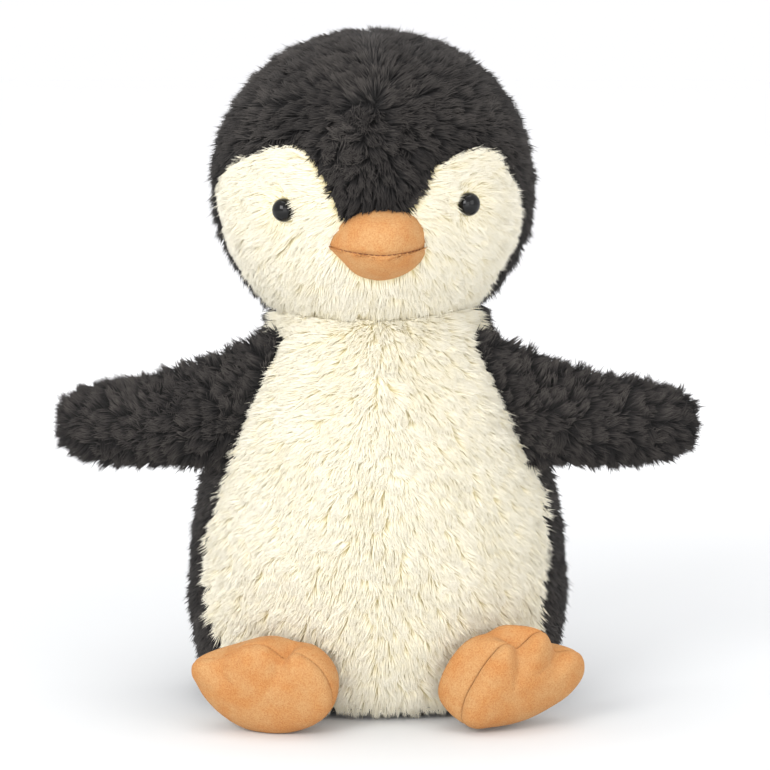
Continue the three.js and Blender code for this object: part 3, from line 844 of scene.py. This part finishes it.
head_points, head_tris = triangles_of(head_grid(HEAD_BACKING))
head_surface = (head_points, head_tris, normals_of(head_points, head_tris))
CHEEK_PILE = {
    "per_mm2": 3.8, "length": 6.4, "width": 0.8, "lean": 60, "lock": 5.5, "gather": 0.38,
    "wander": 0.22, "ruffle": 0.34, "depth": 0.4, "cut": short_at_seam(cheek_nap),
}
CROWN_PILE = {
    "per_mm2": 2.8, "length": 6.5, "width": 0.9, "lean": crown_lean, "lock": 4.8, "gather": 0.45,
    "wander": 0.5, "ruffle": 0.65, "depth": 0.8, "cut": short_at_seam(dark_head_nap),
}
plush(
    "crown_plush", head_surface, is_crown, dark_head_nap, {**CROWN_PILE, "salt": 70},
    dark_pile, "head", "crown_panel",
)
for side, word in ((-1, "left"), (1, "right")):
    plush(
        f"cheek_plush_{word}", head_surface, lambda p, s=side: is_cheek(p, s), cheek_nap,
        {**CHEEK_PILE, "salt": 62 + side}, cream_pile, "head", f"cheek_{word}",
    )
    plush(
        f"head_side_plush_{word}", head_surface, lambda p, s=side: is_head_side(p, s), dark_head_nap,
        {**CROWN_PILE, "per_mm2": SIDE_PER_MM2, "salt": 75 + side}, dark_pile, "head",
        f"head_side_{word}",
    )

# ---- Eyes: black plastic safety eyes, a polished dome on a rolled rim ----
# Moulded in one with a ribbed shank, which goes through the cheek and takes a lock washer inside.

EYE_HEIGHT = 4.4
SHANK_RADIUS = 1.6
SHANK_LENGTH = 10.0
EYE_PROUD = 2.6


def turned_form(profile, origin, axis, steps=72):
    """A profile of (radius, height) carried round an axis from an origin, closed at both ends."""
    axis = np.asarray(axis, float) / np.linalg.norm(axis)
    side = np.cross(axis, [0, 0, 1])
    side = side / np.linalg.norm(side)
    over = np.cross(axis, side)
    turn = np.linspace(0, 2 * np.pi, steps + 1)
    around = np.cos(turn)[:, None] * side + np.sin(turn)[:, None] * over
    radius, height = np.asarray(profile, float).T
    return origin + radius[:, None, None] * around + height[:, None, None] * axis


def eye_profile():
    """From the end of the shank, over its ribs and the flange, round the rolled rim to the dome's top."""
    ribs = np.linspace(-SHANK_LENGTH, -0.8, 41)
    shank = np.stack([SHANK_RADIUS + 0.12 * np.cos((ribs + 0.8) * 2 * np.pi / 1.4), ribs], -1)
    rim = [(EYE_RADIUS - 0.7, -0.8), (EYE_RADIUS - 0.15, -0.7), (EYE_RADIUS, -0.35), (EYE_RADIUS, 0.35)]
    rise = np.linspace(0, np.pi / 2, 24)[1:]
    dome = np.stack([EYE_RADIUS * np.cos(rise) ** 0.92, 0.35 + (EYE_HEIGHT - 0.35) * np.sin(rise)], -1)
    return np.vstack([[(0, -SHANK_LENGTH)], shank, rim, dome])


# Black polystyrene, polished, with faint finger smears about a millimetre wide.
eye_gloss, eye_tree, eye_surface = material("black polystyrene, polished")
smears = node(eye_tree, "ShaderNodeTexNoise", None, own_place(eye_tree), Scale=0.9 / MM, Detail=3.0)
polish = node(
    eye_tree, "ShaderNodeMapRange", None, {"Value": smears.outputs["Fac"]}, To_Min=0.05, To_Max=0.16
)
eye_tree.links.new(polish.outputs["Result"], eye_surface.inputs["Roughness"])
eye_black = two_tone(eye_tree, smears.outputs["Fac"], "#050505", "#0c0b0b")
eye_tree.links.new(eye_black, eye_surface.inputs["Base Color"])
eye_surface.inputs["IOR"].default_value = 1.49
eye_surface.inputs["Specular IOR Level"].default_value = 0.32

for middle, word in zip(eye_places(), ("left", "right")):
    outward = middle / np.linalg.norm(middle)
    eye_form = turned_form(eye_profile(), middle + EYE_PROUD * outward, outward)
    eye_points, eye_tris = triangles_of(from_head(eye_form.reshape(-1, 3)).reshape(eye_form.shape))
    eye = mesh_object(f"safety_eye_{word}", eye_points, eye_tris.tolist())
    eye.data.materials.append(eye_gloss)
    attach(eye, "head")
    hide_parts(f"eye_{word}")

# ---- Filling: loose polyester fibre inside the flippers, the feet and the beak ----
# Pushed in by hand through a gap in the last seam, it takes the shape of the panels round it.


def filling(name, points, tris, inset, body, replaced):
    """A piece's filling: its closed form drawn in along its normals, as loose fibre that fills it."""
    fill = mesh_object(name, points - inset * normals_of(points, tris), tris.tolist())
    fill.data.materials.append(fibre)
    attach(fill, body)
    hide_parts(replaced)


def fibre_finish():
    """Hollow polyester fibre: off-white, matt, in soft tangled strands about a tenth of a millimetre
    thick, drawn coarser here."""
    made, tree, surface = material("white polyester fibre filling")
    strands = node(
        tree, "ShaderNodeTexNoise", None, own_place(tree), Scale=1 / (1.5 * MM), Detail=5.0, Roughness=0.7,
        Distortion=2.0,
    )
    ramp = node(tree, "ShaderNodeValToRGB", links={"Fac": strands.outputs["Fac"]})
    ramp.color_ramp.elements[0].color = linear("#dcd9d0")
    ramp.color_ramp.elements[1].color = linear("#fbfaf6")
    tree.links.new(ramp.outputs["Color"], surface.inputs["Base Color"])
    bump = node(tree, "ShaderNodeBump", None, {"Height": strands.outputs["Fac"]}, Distance=0.8 * MM)
    tree.links.new(bump.outputs["Normal"], surface.inputs["Normal"])
    surface.inputs["Roughness"].default_value = 0.95
    return made


fibre = fibre_finish()

# ---- Wings: flat dark flippers, lightly filled ----
# Two charcoal plush panels each, sewn round the edge and turned, and caught by the root in the body's
# side seam. The pile is brushed out to the tip.

WING_LENGTH = 82.0
WING_HALF_HEIGHT = 17.5
WING_FLARE = 16.0
WING_THICKNESS = 22.0
WING_ROOT_THICKNESS = 9.0
WING_DROP = 10.5
WING_BACKING = 2.0
WING_OVERLAP = 2.5
WING_PILE_ROOM = 4.0
WING_TIP_FULLER = 1.5
WING_CORE = 4.2
CORE_GAP = 0.5
ROOT_LEAN = math.asin(abs(joint_axis["wing_right_swing"][0]))


def wing_grid(side, inset, rows=90, columns=120):
    """A ball drawn out along the flipper. Its height and thickness follow the share of the length, s:
    the height flares towards the root seam, and each ring is a little squarer than an oval."""
    down = np.linspace(0, np.pi, rows)[:, None]
    turn = np.linspace(0, 2 * np.pi, columns + 1)
    s = -0.3 + 1.3 * (1 - np.cos(down)) / 2
    inward = 1 - np.maximum(0, s)
    ring = np.sin(down) ** 0.6
    fuller = WING_TIP_FULLER * smooth_step(s, 0.3, 0.8)
    height = (WING_HALF_HEIGHT + fuller + WING_FLARE * inward**4 - inset) * ring * np.sin(turn)
    thick = WING_THICKNESS - (WING_THICKNESS - WING_ROOT_THICKNESS) * inward**2
    lean = ROOT_LEAN * np.maximum(0, 1 - s / 0.35)
    x = (WING_LENGTH - WING_PILE_ROOM - inset) * s - height * np.sin(lean)
    y = (thick / 2 - inset) * ring * np.cos(turn)
    z = height * np.cos(lean) - WING_DROP * (1 - inward**3)
    return np.stack([side * x, y + 0 * z, z], -1)


def on_wing(places, side, front):
    """Places outside the root seam's line, before or behind the flipper's edge seam."""
    root = places[:, 0] * side * math.cos(ROOT_LEAN) + places[:, 2] * math.sin(ROOT_LEAN)
    return (root > -WING_OVERLAP) & ((places[:, 1] < 0) == front)


def wing_nap(places, side):
    """Along the flipper to its tip, parting from the middle line to both edges."""
    middle = places[:, 2] + WING_DROP
    return np.stack([side + 0 * middle, 0 * middle, 0.75 * np.tanh(middle / 9)], -1)


WING_PILE = {
    "per_mm2": 2.5, "length": 6.0, "width": 0.95, "lean": 60, "lock": 5.0, "gather": 0.6,
    "wander": 0.4, "ruffle": 0.65, "depth": 0.8,
}
for side, word in ((-1, "left"), (1, "right")):
    root = joint_place[f"wing_{word}_swing"]
    core_points, core_tris = triangles_of(wing_grid(side, WING_CORE, 40, 48))
    outward = np.array([side * math.cos(ROOT_LEAN), 0, math.sin(ROOT_LEAN)])
    into = np.maximum(CORE_GAP - core_points @ outward, 0)[:, None]
    core_points = core_points + into * outward + root
    filling(f"wing_filling_{word}", core_points, core_tris, 0.0, f"wing_{word}", f"wing_stuffing_{word}")
    wing_points, wing_tris = triangles_of(wing_grid(side, WING_BACKING))
    wing_surface = (wing_points + root, wing_tris, normals_of(wing_points, wing_tris))
    for front, face in ((True, "front"), (False, "back")):
        plush(
            f"wing_{face}_plush_{word}", wing_surface,
            lambda p, s=side, f=front, r=root: on_wing(p - r, s, f),
            lambda p, s=side, r=root: wing_nap(p - r, s),
            {**WING_PILE, "salt": 90 + 2 * side + front}, dark_pile, f"wing_{word}",
            f"wing_{face}_{word}",
        )

# ---- Feet: orange suedette cushions with three toes, stuffed hard ----
# A flat sole panel and a fuller top panel are sewn round one lobed seam, which shows as a fine ditch.
# The foot stands on its heel against the body, sole outwards, caught by its back edge.

FOOT_FRONT = 8.0
FOOT_BACK = 17.0
FOOT_PITCH = math.radians(12.0)
FOOT_PIVOT_BACK = 15.0
# Each foot's seam round its three toes, in the foot's own right and up, from the outer toe's tip. The
# right foot is stuffed fuller and turned out further, so its seam shows a longer shape.
FOOT_SEAMS = {
    -1: [
        (-32.0, 4.5), (-31.2, 8.6), (-27.2, 10.9), (-20.8, 11.4), (-15.0, 14.0), (-9.0, 17.6), (-1.4, 18.6),
        (3.0, 16.2), (7.3, 13.0), (9.9, 15.0), (12.8, 16.0), (19.6, 11.8), (23.4, 6.8), (25.5, 1.3),
        (26.0, -4.9), (23.0, -11.0), (15.8, -16.2), (4.3, -20.0), (-3.2, -20.0), (-13.1, -17.6),
        (-21.6, -12.0), (-27.4, -5.4), (-30.6, 1.0),
    ],
    1: [
        (-14.0, -17.0), (-16.0, -13.0), (-16.3, -6.1), (-14.7, 0.6), (-12.1, 8.6), (-7.4, 16.9),
        (-3.1, 18.0), (0.5, 16.6), (3.2, 19.8), (6.2, 23.6), (10.0, 24.8), (13.2, 22.8), (17.6, 17.2),
        (20.4, 17.0), (25.6, 18.2), (30.3, 16.8), (33.2, 12.8), (33.8, 7.4), (30.4, 0.3), (24.6, -5.3),
        (15.0, -12.0), (5.8, -15.8), (-3.8, -18.0), (-9.6, -18.8),
    ],
}
# Where the sole dips between two toes: from the notch in the seam to where the dip fades. A dip takes at
# most a share of the depth that the sole has there.
TOE_DIPS = {
    -1: [((-21.0, 11.0), (-15.5, -2.0)), ((7.3, 13.2), (5.5, 1.0))],
    1: [((0.5, 16.8), (3.0, 3.0)), ((19.0, 17.0), (15.5, 4.0))],
}
TOE_DIP_DEPTH = 4.6
DIP_SHARE = 0.5
TOE_DIP_WIDTH = 3.8
# How far the top panel's fullest ring lies from the seam, right and up.
TOP_SHIFT = {-1: (3.5, 2.4), 1: (-9.5, 1.2)}
# The seam's ditch as a share of the outline, the angle to its two sides, and how many points each way
# even out the outline behind it.
SEAM_DITCH = 0.045
DITCH_STEP = 0.03
EVEN_REACH = 9
FOOT_CORE_SHARE = [0.82, 0.72, 0.82]
PANEL_RINGS = 18
PANEL_STEPS = 132
PANEL_THICKNESS = 1.2
SEAM_FIRM = 1.5
FOOT_PRESSURE = 3.0
FOOT_SWELL = 3.0
FOOT_LIFT = 0.3
SIM_SCALE = 10.0


def foot_axes(word):
    """The foot's own right, back and up. Right is against the lift's axis, back rises by the pitch and
    is square to it."""
    right = -joint_axis[f"foot_{word}_lift"]
    right = right / np.linalg.norm(right)
    across = np.linalg.norm(right[:2])
    rise = math.sin(FOOT_PITCH)
    share = -right[2] * rise / across
    square = math.sqrt(math.cos(FOOT_PITCH) ** 2 - share**2)
    flat = share * right[:2] / across + square * np.array([-right[1], right[0]]) / across
    back = np.array([flat[0], flat[1], rise])
    return np.array([right, back, np.cross(right, back)])


def cushion_grid(outline, front, back, shift, rings=PANEL_RINGS):
    """A closed cushion: rings shrink from the outline to a pole in front and one behind, while the depth
    rises as a quarter circle does, a little squarer. The seam's ring lies in a ditch. Behind it the
    outline's notches are evened out, as the stuffing pushes the fuller panel over them."""
    seam = np.pi / 2
    beside_seam = [seam - DITCH_STEP, seam + DITCH_STEP]
    down = np.sort(np.append(np.linspace(0, np.pi, 2 * rings + 1), beside_seam))[:, None]
    ring = np.sin(down) ** 0.7
    ring[0] = ring[-1] = 0
    ring = ring * (1 - SEAM_DITCH * (np.abs(down - seam) < DITCH_STEP / 3))
    behind = np.maximum(down - seam, 0)
    ring = ring * (1 + 0.04 * np.sin(2 * behind))
    steps = len(outline) - 1
    nearby = range(-EVEN_REACH, EVEN_REACH + 1)
    even = sum(outline[(np.arange(steps + 1) + i) % steps] for i in nearby) / len(nearby)
    mix = smooth_step(behind, 0, 0.5)[..., None]
    ringed = (outline + mix * (even - outline)) * ring[..., None]
    ringed = ringed + np.sin(2 * behind)[..., None] * np.array(shift)
    depth = -np.sign(np.cos(down)) * np.abs(np.cos(down)) ** 0.85
    depth = np.where(depth < 0, front, back) * depth
    return np.stack([ringed[..., 0], depth + 0 * outline[:, 0], ringed[..., 1]], -1)


def filled_out(points, tris, held, pressure, cap, frames=20):
    """Fills a closed cushion by cloth simulation, ten times its size so that the cloth settles well. Held
    gives how firmly each point is sewn down. No point moves further than the cap."""
    big = mesh_object("cloth", points * SIM_SCALE, tris.tolist())
    group = big.vertex_groups.new(name="sewn")
    for level in np.unique(np.round(held, 1)):
        chosen = np.flatnonzero(np.round(held, 1) == level)
        group.add(chosen.tolist(), float(level), "REPLACE")
    cloth = big.modifiers.new("cloth", "CLOTH")
    cloth.settings.quality = 8
    cloth.settings.mass = 0.2
    cloth.settings.tension_stiffness = 12
    cloth.settings.compression_stiffness = 12
    cloth.settings.bending_stiffness = 0.4
    cloth.settings.vertex_group_mass = "sewn"
    cloth.settings.use_pressure = True
    cloth.settings.uniform_pressure_force = pressure
    cloth.settings.effector_weights.gravity = 0
    cloth.point_cache.frame_end = frames
    for step in range(1, frames + 1):
        bpy.context.scene.frame_set(step)
    filled = big.evaluated_get(bpy.context.evaluated_depsgraph_get()).data
    moved = np.empty(len(points) * 3, np.float32)
    filled.vertices.foreach_get("co", moved)
    moved = moved.reshape(-1, 3) / MM / SIM_SCALE - points
    bpy.data.objects.remove(big)
    bpy.context.scene.frame_set(1)
    far = np.linalg.norm(moved, axis=1, keepdims=True)
    return points + moved * np.minimum(1, cap / np.maximum(far, 1e-6))


def suedette_panel(name, points, tris, chosen, finish, body, replaced):
    """One sewn panel of a filled cushion: its triangles as a shell, subdivided once."""
    used, small = np.unique(tris[chosen], return_inverse=True)
    small = small.reshape(-1, 3)
    piece = mesh_object(name, points[used], small.tolist())
    wall = piece.modifiers.new("thickness", "SOLIDIFY")
    wall.thickness = PANEL_THICKNESS * MM
    wall.offset = -1
    rounder = piece.modifiers.new("rounding", "SUBSURF")
    rounder.levels = rounder.render_levels = 1
    piece.data.materials.append(finish)
    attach(piece, body)
    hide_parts(replaced)


def suedette_finish():
    """Brushed polyester suedette: a matt nap of fine streaks, blotched where it was stroked, over a
    close grain. It shows as speckle with a soft light rim."""
    made, tree, surface = material("orange suedette, brushed")
    spot = own_place(tree)
    grain = node(tree, "ShaderNodeTexNoise", None, spot, Scale=1.0 / (0.6 * MM), Detail=4.0, Roughness=0.65)
    blotch = node(tree, "ShaderNodeTexNoise", None, spot, Scale=1.0 / (9 * MM), Detail=2.0)
    fleck = node(tree, "ShaderNodeTexNoise", None, spot, Scale=1.0 / (1.2 * MM), Detail=3.0, Roughness=0.7)
    base = node(tree, "ShaderNodeValToRGB", links={"Fac": grain.outputs["Fac"]})
    base.color_ramp.elements[0].position = 0.28
    base.color_ramp.elements[0].color = linear("#a97143")
    base.color_ramp.elements[1].position = 0.62
    base.color_ramp.elements[1].color = linear("#c09664")
    stroked = node(
        tree, "ShaderNodeMapRange", None, {"Value": blotch.outputs["Fac"]}, From_Min=0.35, From_Max=0.65
    )
    worn = two_tone(tree, stroked.outputs["Result"], base.outputs["Color"], "#fbe9d6", "MULTIPLY")
    speck = node(
        tree, "ShaderNodeMapRange", None, {"Value": fleck.outputs["Fac"]}, From_Min=0.6, From_Max=0.75
    )
    flecked = two_tone(tree, speck.outputs["Result"], worn, "#ad7440")
    tree.links.new(flecked, surface.inputs["Base Color"])
    rough = node(tree, "ShaderNodeMapRange", None, {"Value": grain.outputs["Fac"]}, To_Min=0.8, To_Max=0.98)
    tree.links.new(rough.outputs["Result"], surface.inputs["Roughness"])
    bump = node(
        tree, "ShaderNodeBump", None, {"Height": grain.outputs["Fac"]}, Strength=0.35, Distance=0.2 * MM
    )
    tree.links.new(bump.outputs["Normal"], surface.inputs["Normal"])
    surface.inputs["Sheen Weight"].default_value = 0.12
    surface.inputs["Sheen Roughness"].default_value = 0.4
    surface.inputs["Sheen Tint"].default_value = linear("#ffd9ae")
    surface.inputs["Specular IOR Level"].default_value = 0.2
    return made


def dipped(points, dips):
    """The sole pushed in along each dip: deepest at the seam's end and fading along it, with the fall-off
    of a bell curve across it, and by no more than a share of the depth it has there."""
    room = DIP_SHARE * np.maximum(-points[:, 1], 0)
    push = np.zeros(len(points))
    for start, end in np.array(dips):
        way = end - start
        along = np.clip((points[:, [0, 2]] - start) @ way / (way @ way), 0, 1)
        off = np.linalg.norm(points[:, [0, 2]] - start - along[:, None] * way, axis=1)
        push = np.maximum(push, (1 - along) * np.exp(-((off / TOE_DIP_WIDTH) ** 2)))
    return points + np.stack([0 * push, push * np.minimum(TOE_DIP_DEPTH, room), 0 * push], -1)


suedette = suedette_finish()
for side, word in ((-1, "left"), (1, "right")):
    axes = foot_axes(word)
    middle = joint_place[f"foot_{word}_lift"] - FOOT_PIVOT_BACK * axes[1]
    lobes = curve_through(FOOT_SEAMS[side], PANEL_STEPS, closed=True)
    lobes = np.vstack([lobes, lobes[:1]])
    foot_points, foot_tris = triangles_of(cushion_grid(lobes, FOOT_FRONT, FOOT_BACK, TOP_SHIFT[side]))
    foot_points = dipped(foot_points, TOE_DIPS[side])
    firm = np.exp(-((foot_points[:, 1] / SEAM_FIRM) ** 2))
    filled = filled_out(foot_points, foot_tris, firm, FOOT_PRESSURE, FOOT_SWELL)
    sole = filled[foot_tris].mean(1)[:, 1] < 0
    placed = filled @ axes + middle
    placed[:, 2] = np.maximum(placed[:, 2], FOOT_LIFT)
    foot_core = (filled * FOOT_CORE_SHARE) @ axes + middle
    filling(f"foot_filling_{word}", foot_core, foot_tris, 0.0, f"foot_{word}", f"foot_stuffing_{word}")
    for chosen, face in ((sole, "sole"), (~sole, "top")):
        suedette_panel(
            f"foot_{face}_suedette_{word}", placed, foot_tris, chosen, suedette, f"foot_{word}",
            f"foot_{face}_{word}",
        )

# ---- Beak: two suedette panels over a little filling ----
# The upper and the lower panel are folded in along the mouth and closed there by hand with short brown
# stitches. Their rims are turned in and sewn down on the face.

BEAK_LENGTH = 19.0
BEAK_SINK = 3.0
BEAK_RIM = 2.2
RIM_IN = 0.015
BEAK_PRESSURE = 2.0
BEAK_SWELL = 1.2
MOUTH = [
    (-21.6, -18.6), (-16.4, -19.9), (-7.1, -21.3), (-0.4, -21.9), (6.3, -21.7), (14.8, -20.9),
    (18.4, -20.0),
]
MOUTH_FOLD = 0.8
FOLD_WIDTH = 1.1


def beak_depth(across, up):
    """How far the beak stands out from the face at a place: a dome over the outline, folded in a little
    along the mouth."""
    local = np.stack([across.ravel(), 0 * across.ravel(), up.ravel()], -1)
    share = np.minimum(beak_share(local), 1).reshape(across.shape)
    mouth_x, mouth_z = curve_through(MOUTH, 80).T
    off = up - np.interp(across, mouth_x, mouth_z)
    dome = BEAK_LENGTH * (1 - share**2.1) ** 0.6
    return dome - MOUTH_FOLD * np.exp(-((off / FOLD_WIDTH) ** 2)) * (share < 0.97)


def face_curve(across, up):
    """The face's own depth behind the beak."""
    return -np.sqrt(np.maximum((HEAD_RADIUS - HEAD_BACKING) ** 2 - across**2 - up**2, 0))


def beak_half(upper, rings=18, steps=44):
    """One panel: rings grow from its middle to its outline, at the beak's depth, and its rim turns in."""
    edge = curve_through(BEAK_OUTLINE, 150, closed=True)
    mouth = curve_through(MOUTH, steps)
    level = np.interp(edge[:, 0], mouth[:, 0], mouth[:, 1])
    arc = edge[(edge[:, 1] > level) == upper]
    arc = arc[np.argsort(arc[:, 0])]
    outline = np.vstack([arc, mouth[::-1], arc[:1]])
    middle = arc.mean(0) * 0.45 + mouth.mean(0) * 0.55
    share = np.linspace(0, 1, rings)[:, None]
    across = middle[0] + share * (outline[:, 0] - middle[0])
    up = middle[1] + share * (outline[:, 1] - middle[1])
    front = face_curve(across, up) + BEAK_SINK - beak_depth(across, up)
    rim = front[-1] + BEAK_RIM
    x = np.vstack([across, across[-1:] * (1 - RIM_IN) + middle[0] * RIM_IN])
    z = np.vstack([up, up[-1:] * (1 - RIM_IN) + middle[1] * RIM_IN])
    return np.stack([x, np.vstack([front, rim[None]]), z], -1)


# The filling: the beak's own outline drawn in, a little less deep, with a back just over the face.
CORE_OUT = 0.9
CORE_DEPTH = 0.84
CORE_BACK = 0.5

core_steps = np.linspace(0, CORE_OUT, 14)[:, None]
beak_ring = curve_through(BEAK_OUTLINE, 72, closed=True)
beak_ring = np.vstack([beak_ring, beak_ring[:1]])
core_x = BEAK_MIDDLE[0] + core_steps * (beak_ring[:, 0] - BEAK_MIDDLE[0])
core_z = BEAK_MIDDLE[1] + core_steps * (beak_ring[:, 1] - BEAK_MIDDLE[1])
core_y = face_curve(core_x, core_z) + BEAK_SINK
core_front = core_y - CORE_DEPTH * beak_depth(core_x, core_z)
core_back = core_y[::-1] - CORE_BACK
core_pairs = ((core_x, core_x[::-1]), (core_front, core_back), (core_z, core_z[::-1]))
beak_core, beak_core_tris = triangles_of(np.stack([np.vstack(pair) for pair in core_pairs], -1))
filling("beak_filling", from_head(beak_core), beak_core_tris, 0.2, "head", "beak_stuffing")

for upper, half in ((True, "upper"), (False, "lower")):
    form = beak_half(upper)
    half_points, half_tris = triangles_of(form)
    facing = normals_of(half_points, half_tris)[:, 1].mean()
    half_tris = half_tris[:, ::-1] if facing > 0 else half_tris
    rim_points = np.round(form[-3:].reshape(-1, 3), 3)
    sewn = np.abs(half_points[:, None, :] - rim_points[None]).max(2).min(1) < 0.01
    half_filled = filled_out(half_points, half_tris, sewn.astype(float), BEAK_PRESSURE, BEAK_SWELL)
    suedette_panel(
        f"beak_{half}_suedette", from_head(half_filled), half_tris, np.full(len(half_tris), True), suedette,
        "head", f"beak_{half}",
    )

# The mouth's running stitches: short lengths of twisted brown cotton thread along the fold.
STITCHES = 17
STITCH_GAP = 0.45
STITCH_STEPS = 9
STITCH_FROM = -16.8
STITCH_TO = 15.6
THREAD_RADIUS = 0.22
THREAD_SINK = 0.15

thread, thread_tree, thread_surface = material("brown cotton thread, twisted")
twist = node(
    thread_tree, "ShaderNodeTexWave", {"bands_direction": "DIAGONAL"}, own_place(thread_tree),
    Scale=1 / (0.35 * MM) / 6.0, Distortion=1.0,
)
thread_tint = two_tone(thread_tree, twist.outputs["Fac"], "#6b3d20", "#8a5530")
thread_tree.links.new(thread_tint, thread_surface.inputs["Base Color"])
thread_surface.inputs["Roughness"].default_value = 0.75

mouth_line = curve_through(MOUTH, 400)
mouth_line = mouth_line[(mouth_line[:, 0] > STITCH_FROM) & (mouth_line[:, 0] < STITCH_TO)]
mouth_out = face_curve(mouth_line[:, 0], mouth_line[:, 1]) + BEAK_SINK
mouth_out = mouth_out - beak_depth(mouth_line[:, 0], mouth_line[:, 1])
mouth_path = np.stack([mouth_line[:, 0], mouth_out - THREAD_SINK, mouth_line[:, 1]], -1)
mouth_run = np.concatenate([[0], np.cumsum(np.linalg.norm(np.diff(mouth_path, axis=0), axis=1))])
stitch_points, stitch_tris = [], []
stitch_step = mouth_run[-1] / STITCHES
for stitch in range(STITCHES):
    at = np.linspace(stitch * stitch_step, (stitch + 1) * stitch_step - STITCH_GAP, STITCH_STEPS)
    spine = np.stack([np.interp(at, mouth_run, mouth_path[:, i]) for i in range(3)], -1)
    thick = THREAD_RADIUS * np.sin(np.linspace(0, np.pi, STITCH_STEPS)) ** 0.5
    turn = np.linspace(0, 2 * np.pi, STITCH_STEPS)
    ring = np.stack([0 * turn, np.cos(turn), np.sin(turn)], -1)
    points, tris = triangles_of(spine[:, None] + thick[:, None, None] * ring[None])
    stitch_tris.append(tris + sum(len(p) for p in stitch_points))
    stitch_points.append(points)
every_stitch = from_head(np.concatenate(stitch_points))
stitches = mesh_object("mouth_stitches", every_stitch, np.concatenate(stitch_tris).tolist())
stitches.data.materials.append(thread)
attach(stitches, "head")

# ---- Inside: what stays as the frame holds it, with its own finishes ----
# Fibre fills the body, the neck and the head, a cotton pouch of pellets weights the base, and white
# lock washers hold the eyes' shanks.

# Unbleached calico, a plain weave of threads 0.6 mm apart.
pouch, pouch_tree, pouch_surface = material("unbleached cotton calico, plain weave")
weave = node(pouch_tree, "ShaderNodeTexChecker", None, own_place(pouch_tree), Scale=1 / (0.6 * MM))
weave.inputs["Color1"].default_value = linear("#dcd6c6")
weave.inputs["Color2"].default_value = linear("#c8c0ac")
pouch_tree.links.new(weave.outputs["Color"], pouch_surface.inputs["Base Color"])
weave_bump = node(pouch_tree, "ShaderNodeBump", None, {"Height": weave.outputs["Fac"]}, Distance=0.1 * MM)
pouch_tree.links.new(weave_bump.outputs["Normal"], pouch_surface.inputs["Normal"])
pouch_surface.inputs["Roughness"].default_value = 0.9

# Moulded nylon, half matt, with faint flow marks 2.5 mm apart.
nylon, nylon_tree, nylon_surface = material("white nylon, moulded")
flow = node(nylon_tree, "ShaderNodeTexNoise", None, own_place(nylon_tree), Scale=1 / (2.5 * MM))
nylon_tone = two_tone(nylon_tree, flow.outputs["Fac"], "#e4e4df", "#f4f4f0")
nylon_tree.links.new(nylon_tone, nylon_surface.inputs["Base Color"])
nylon_surface.inputs["Roughness"].default_value = 0.45
nylon_surface.inputs["IOR"].default_value = 1.53

INSIDE = {
    "body_stuffing": fibre, "neck_stuffing": fibre, "head_stuffing": fibre, "bean_bag": pouch,
    "eye_washer_left": nylon, "eye_washer_right": nylon,
}
for inner, inner_finish in INSIDE.items():
    frame["nodes"][inner].data.materials.clear()
    frame["nodes"][inner].data.materials.append(inner_finish)
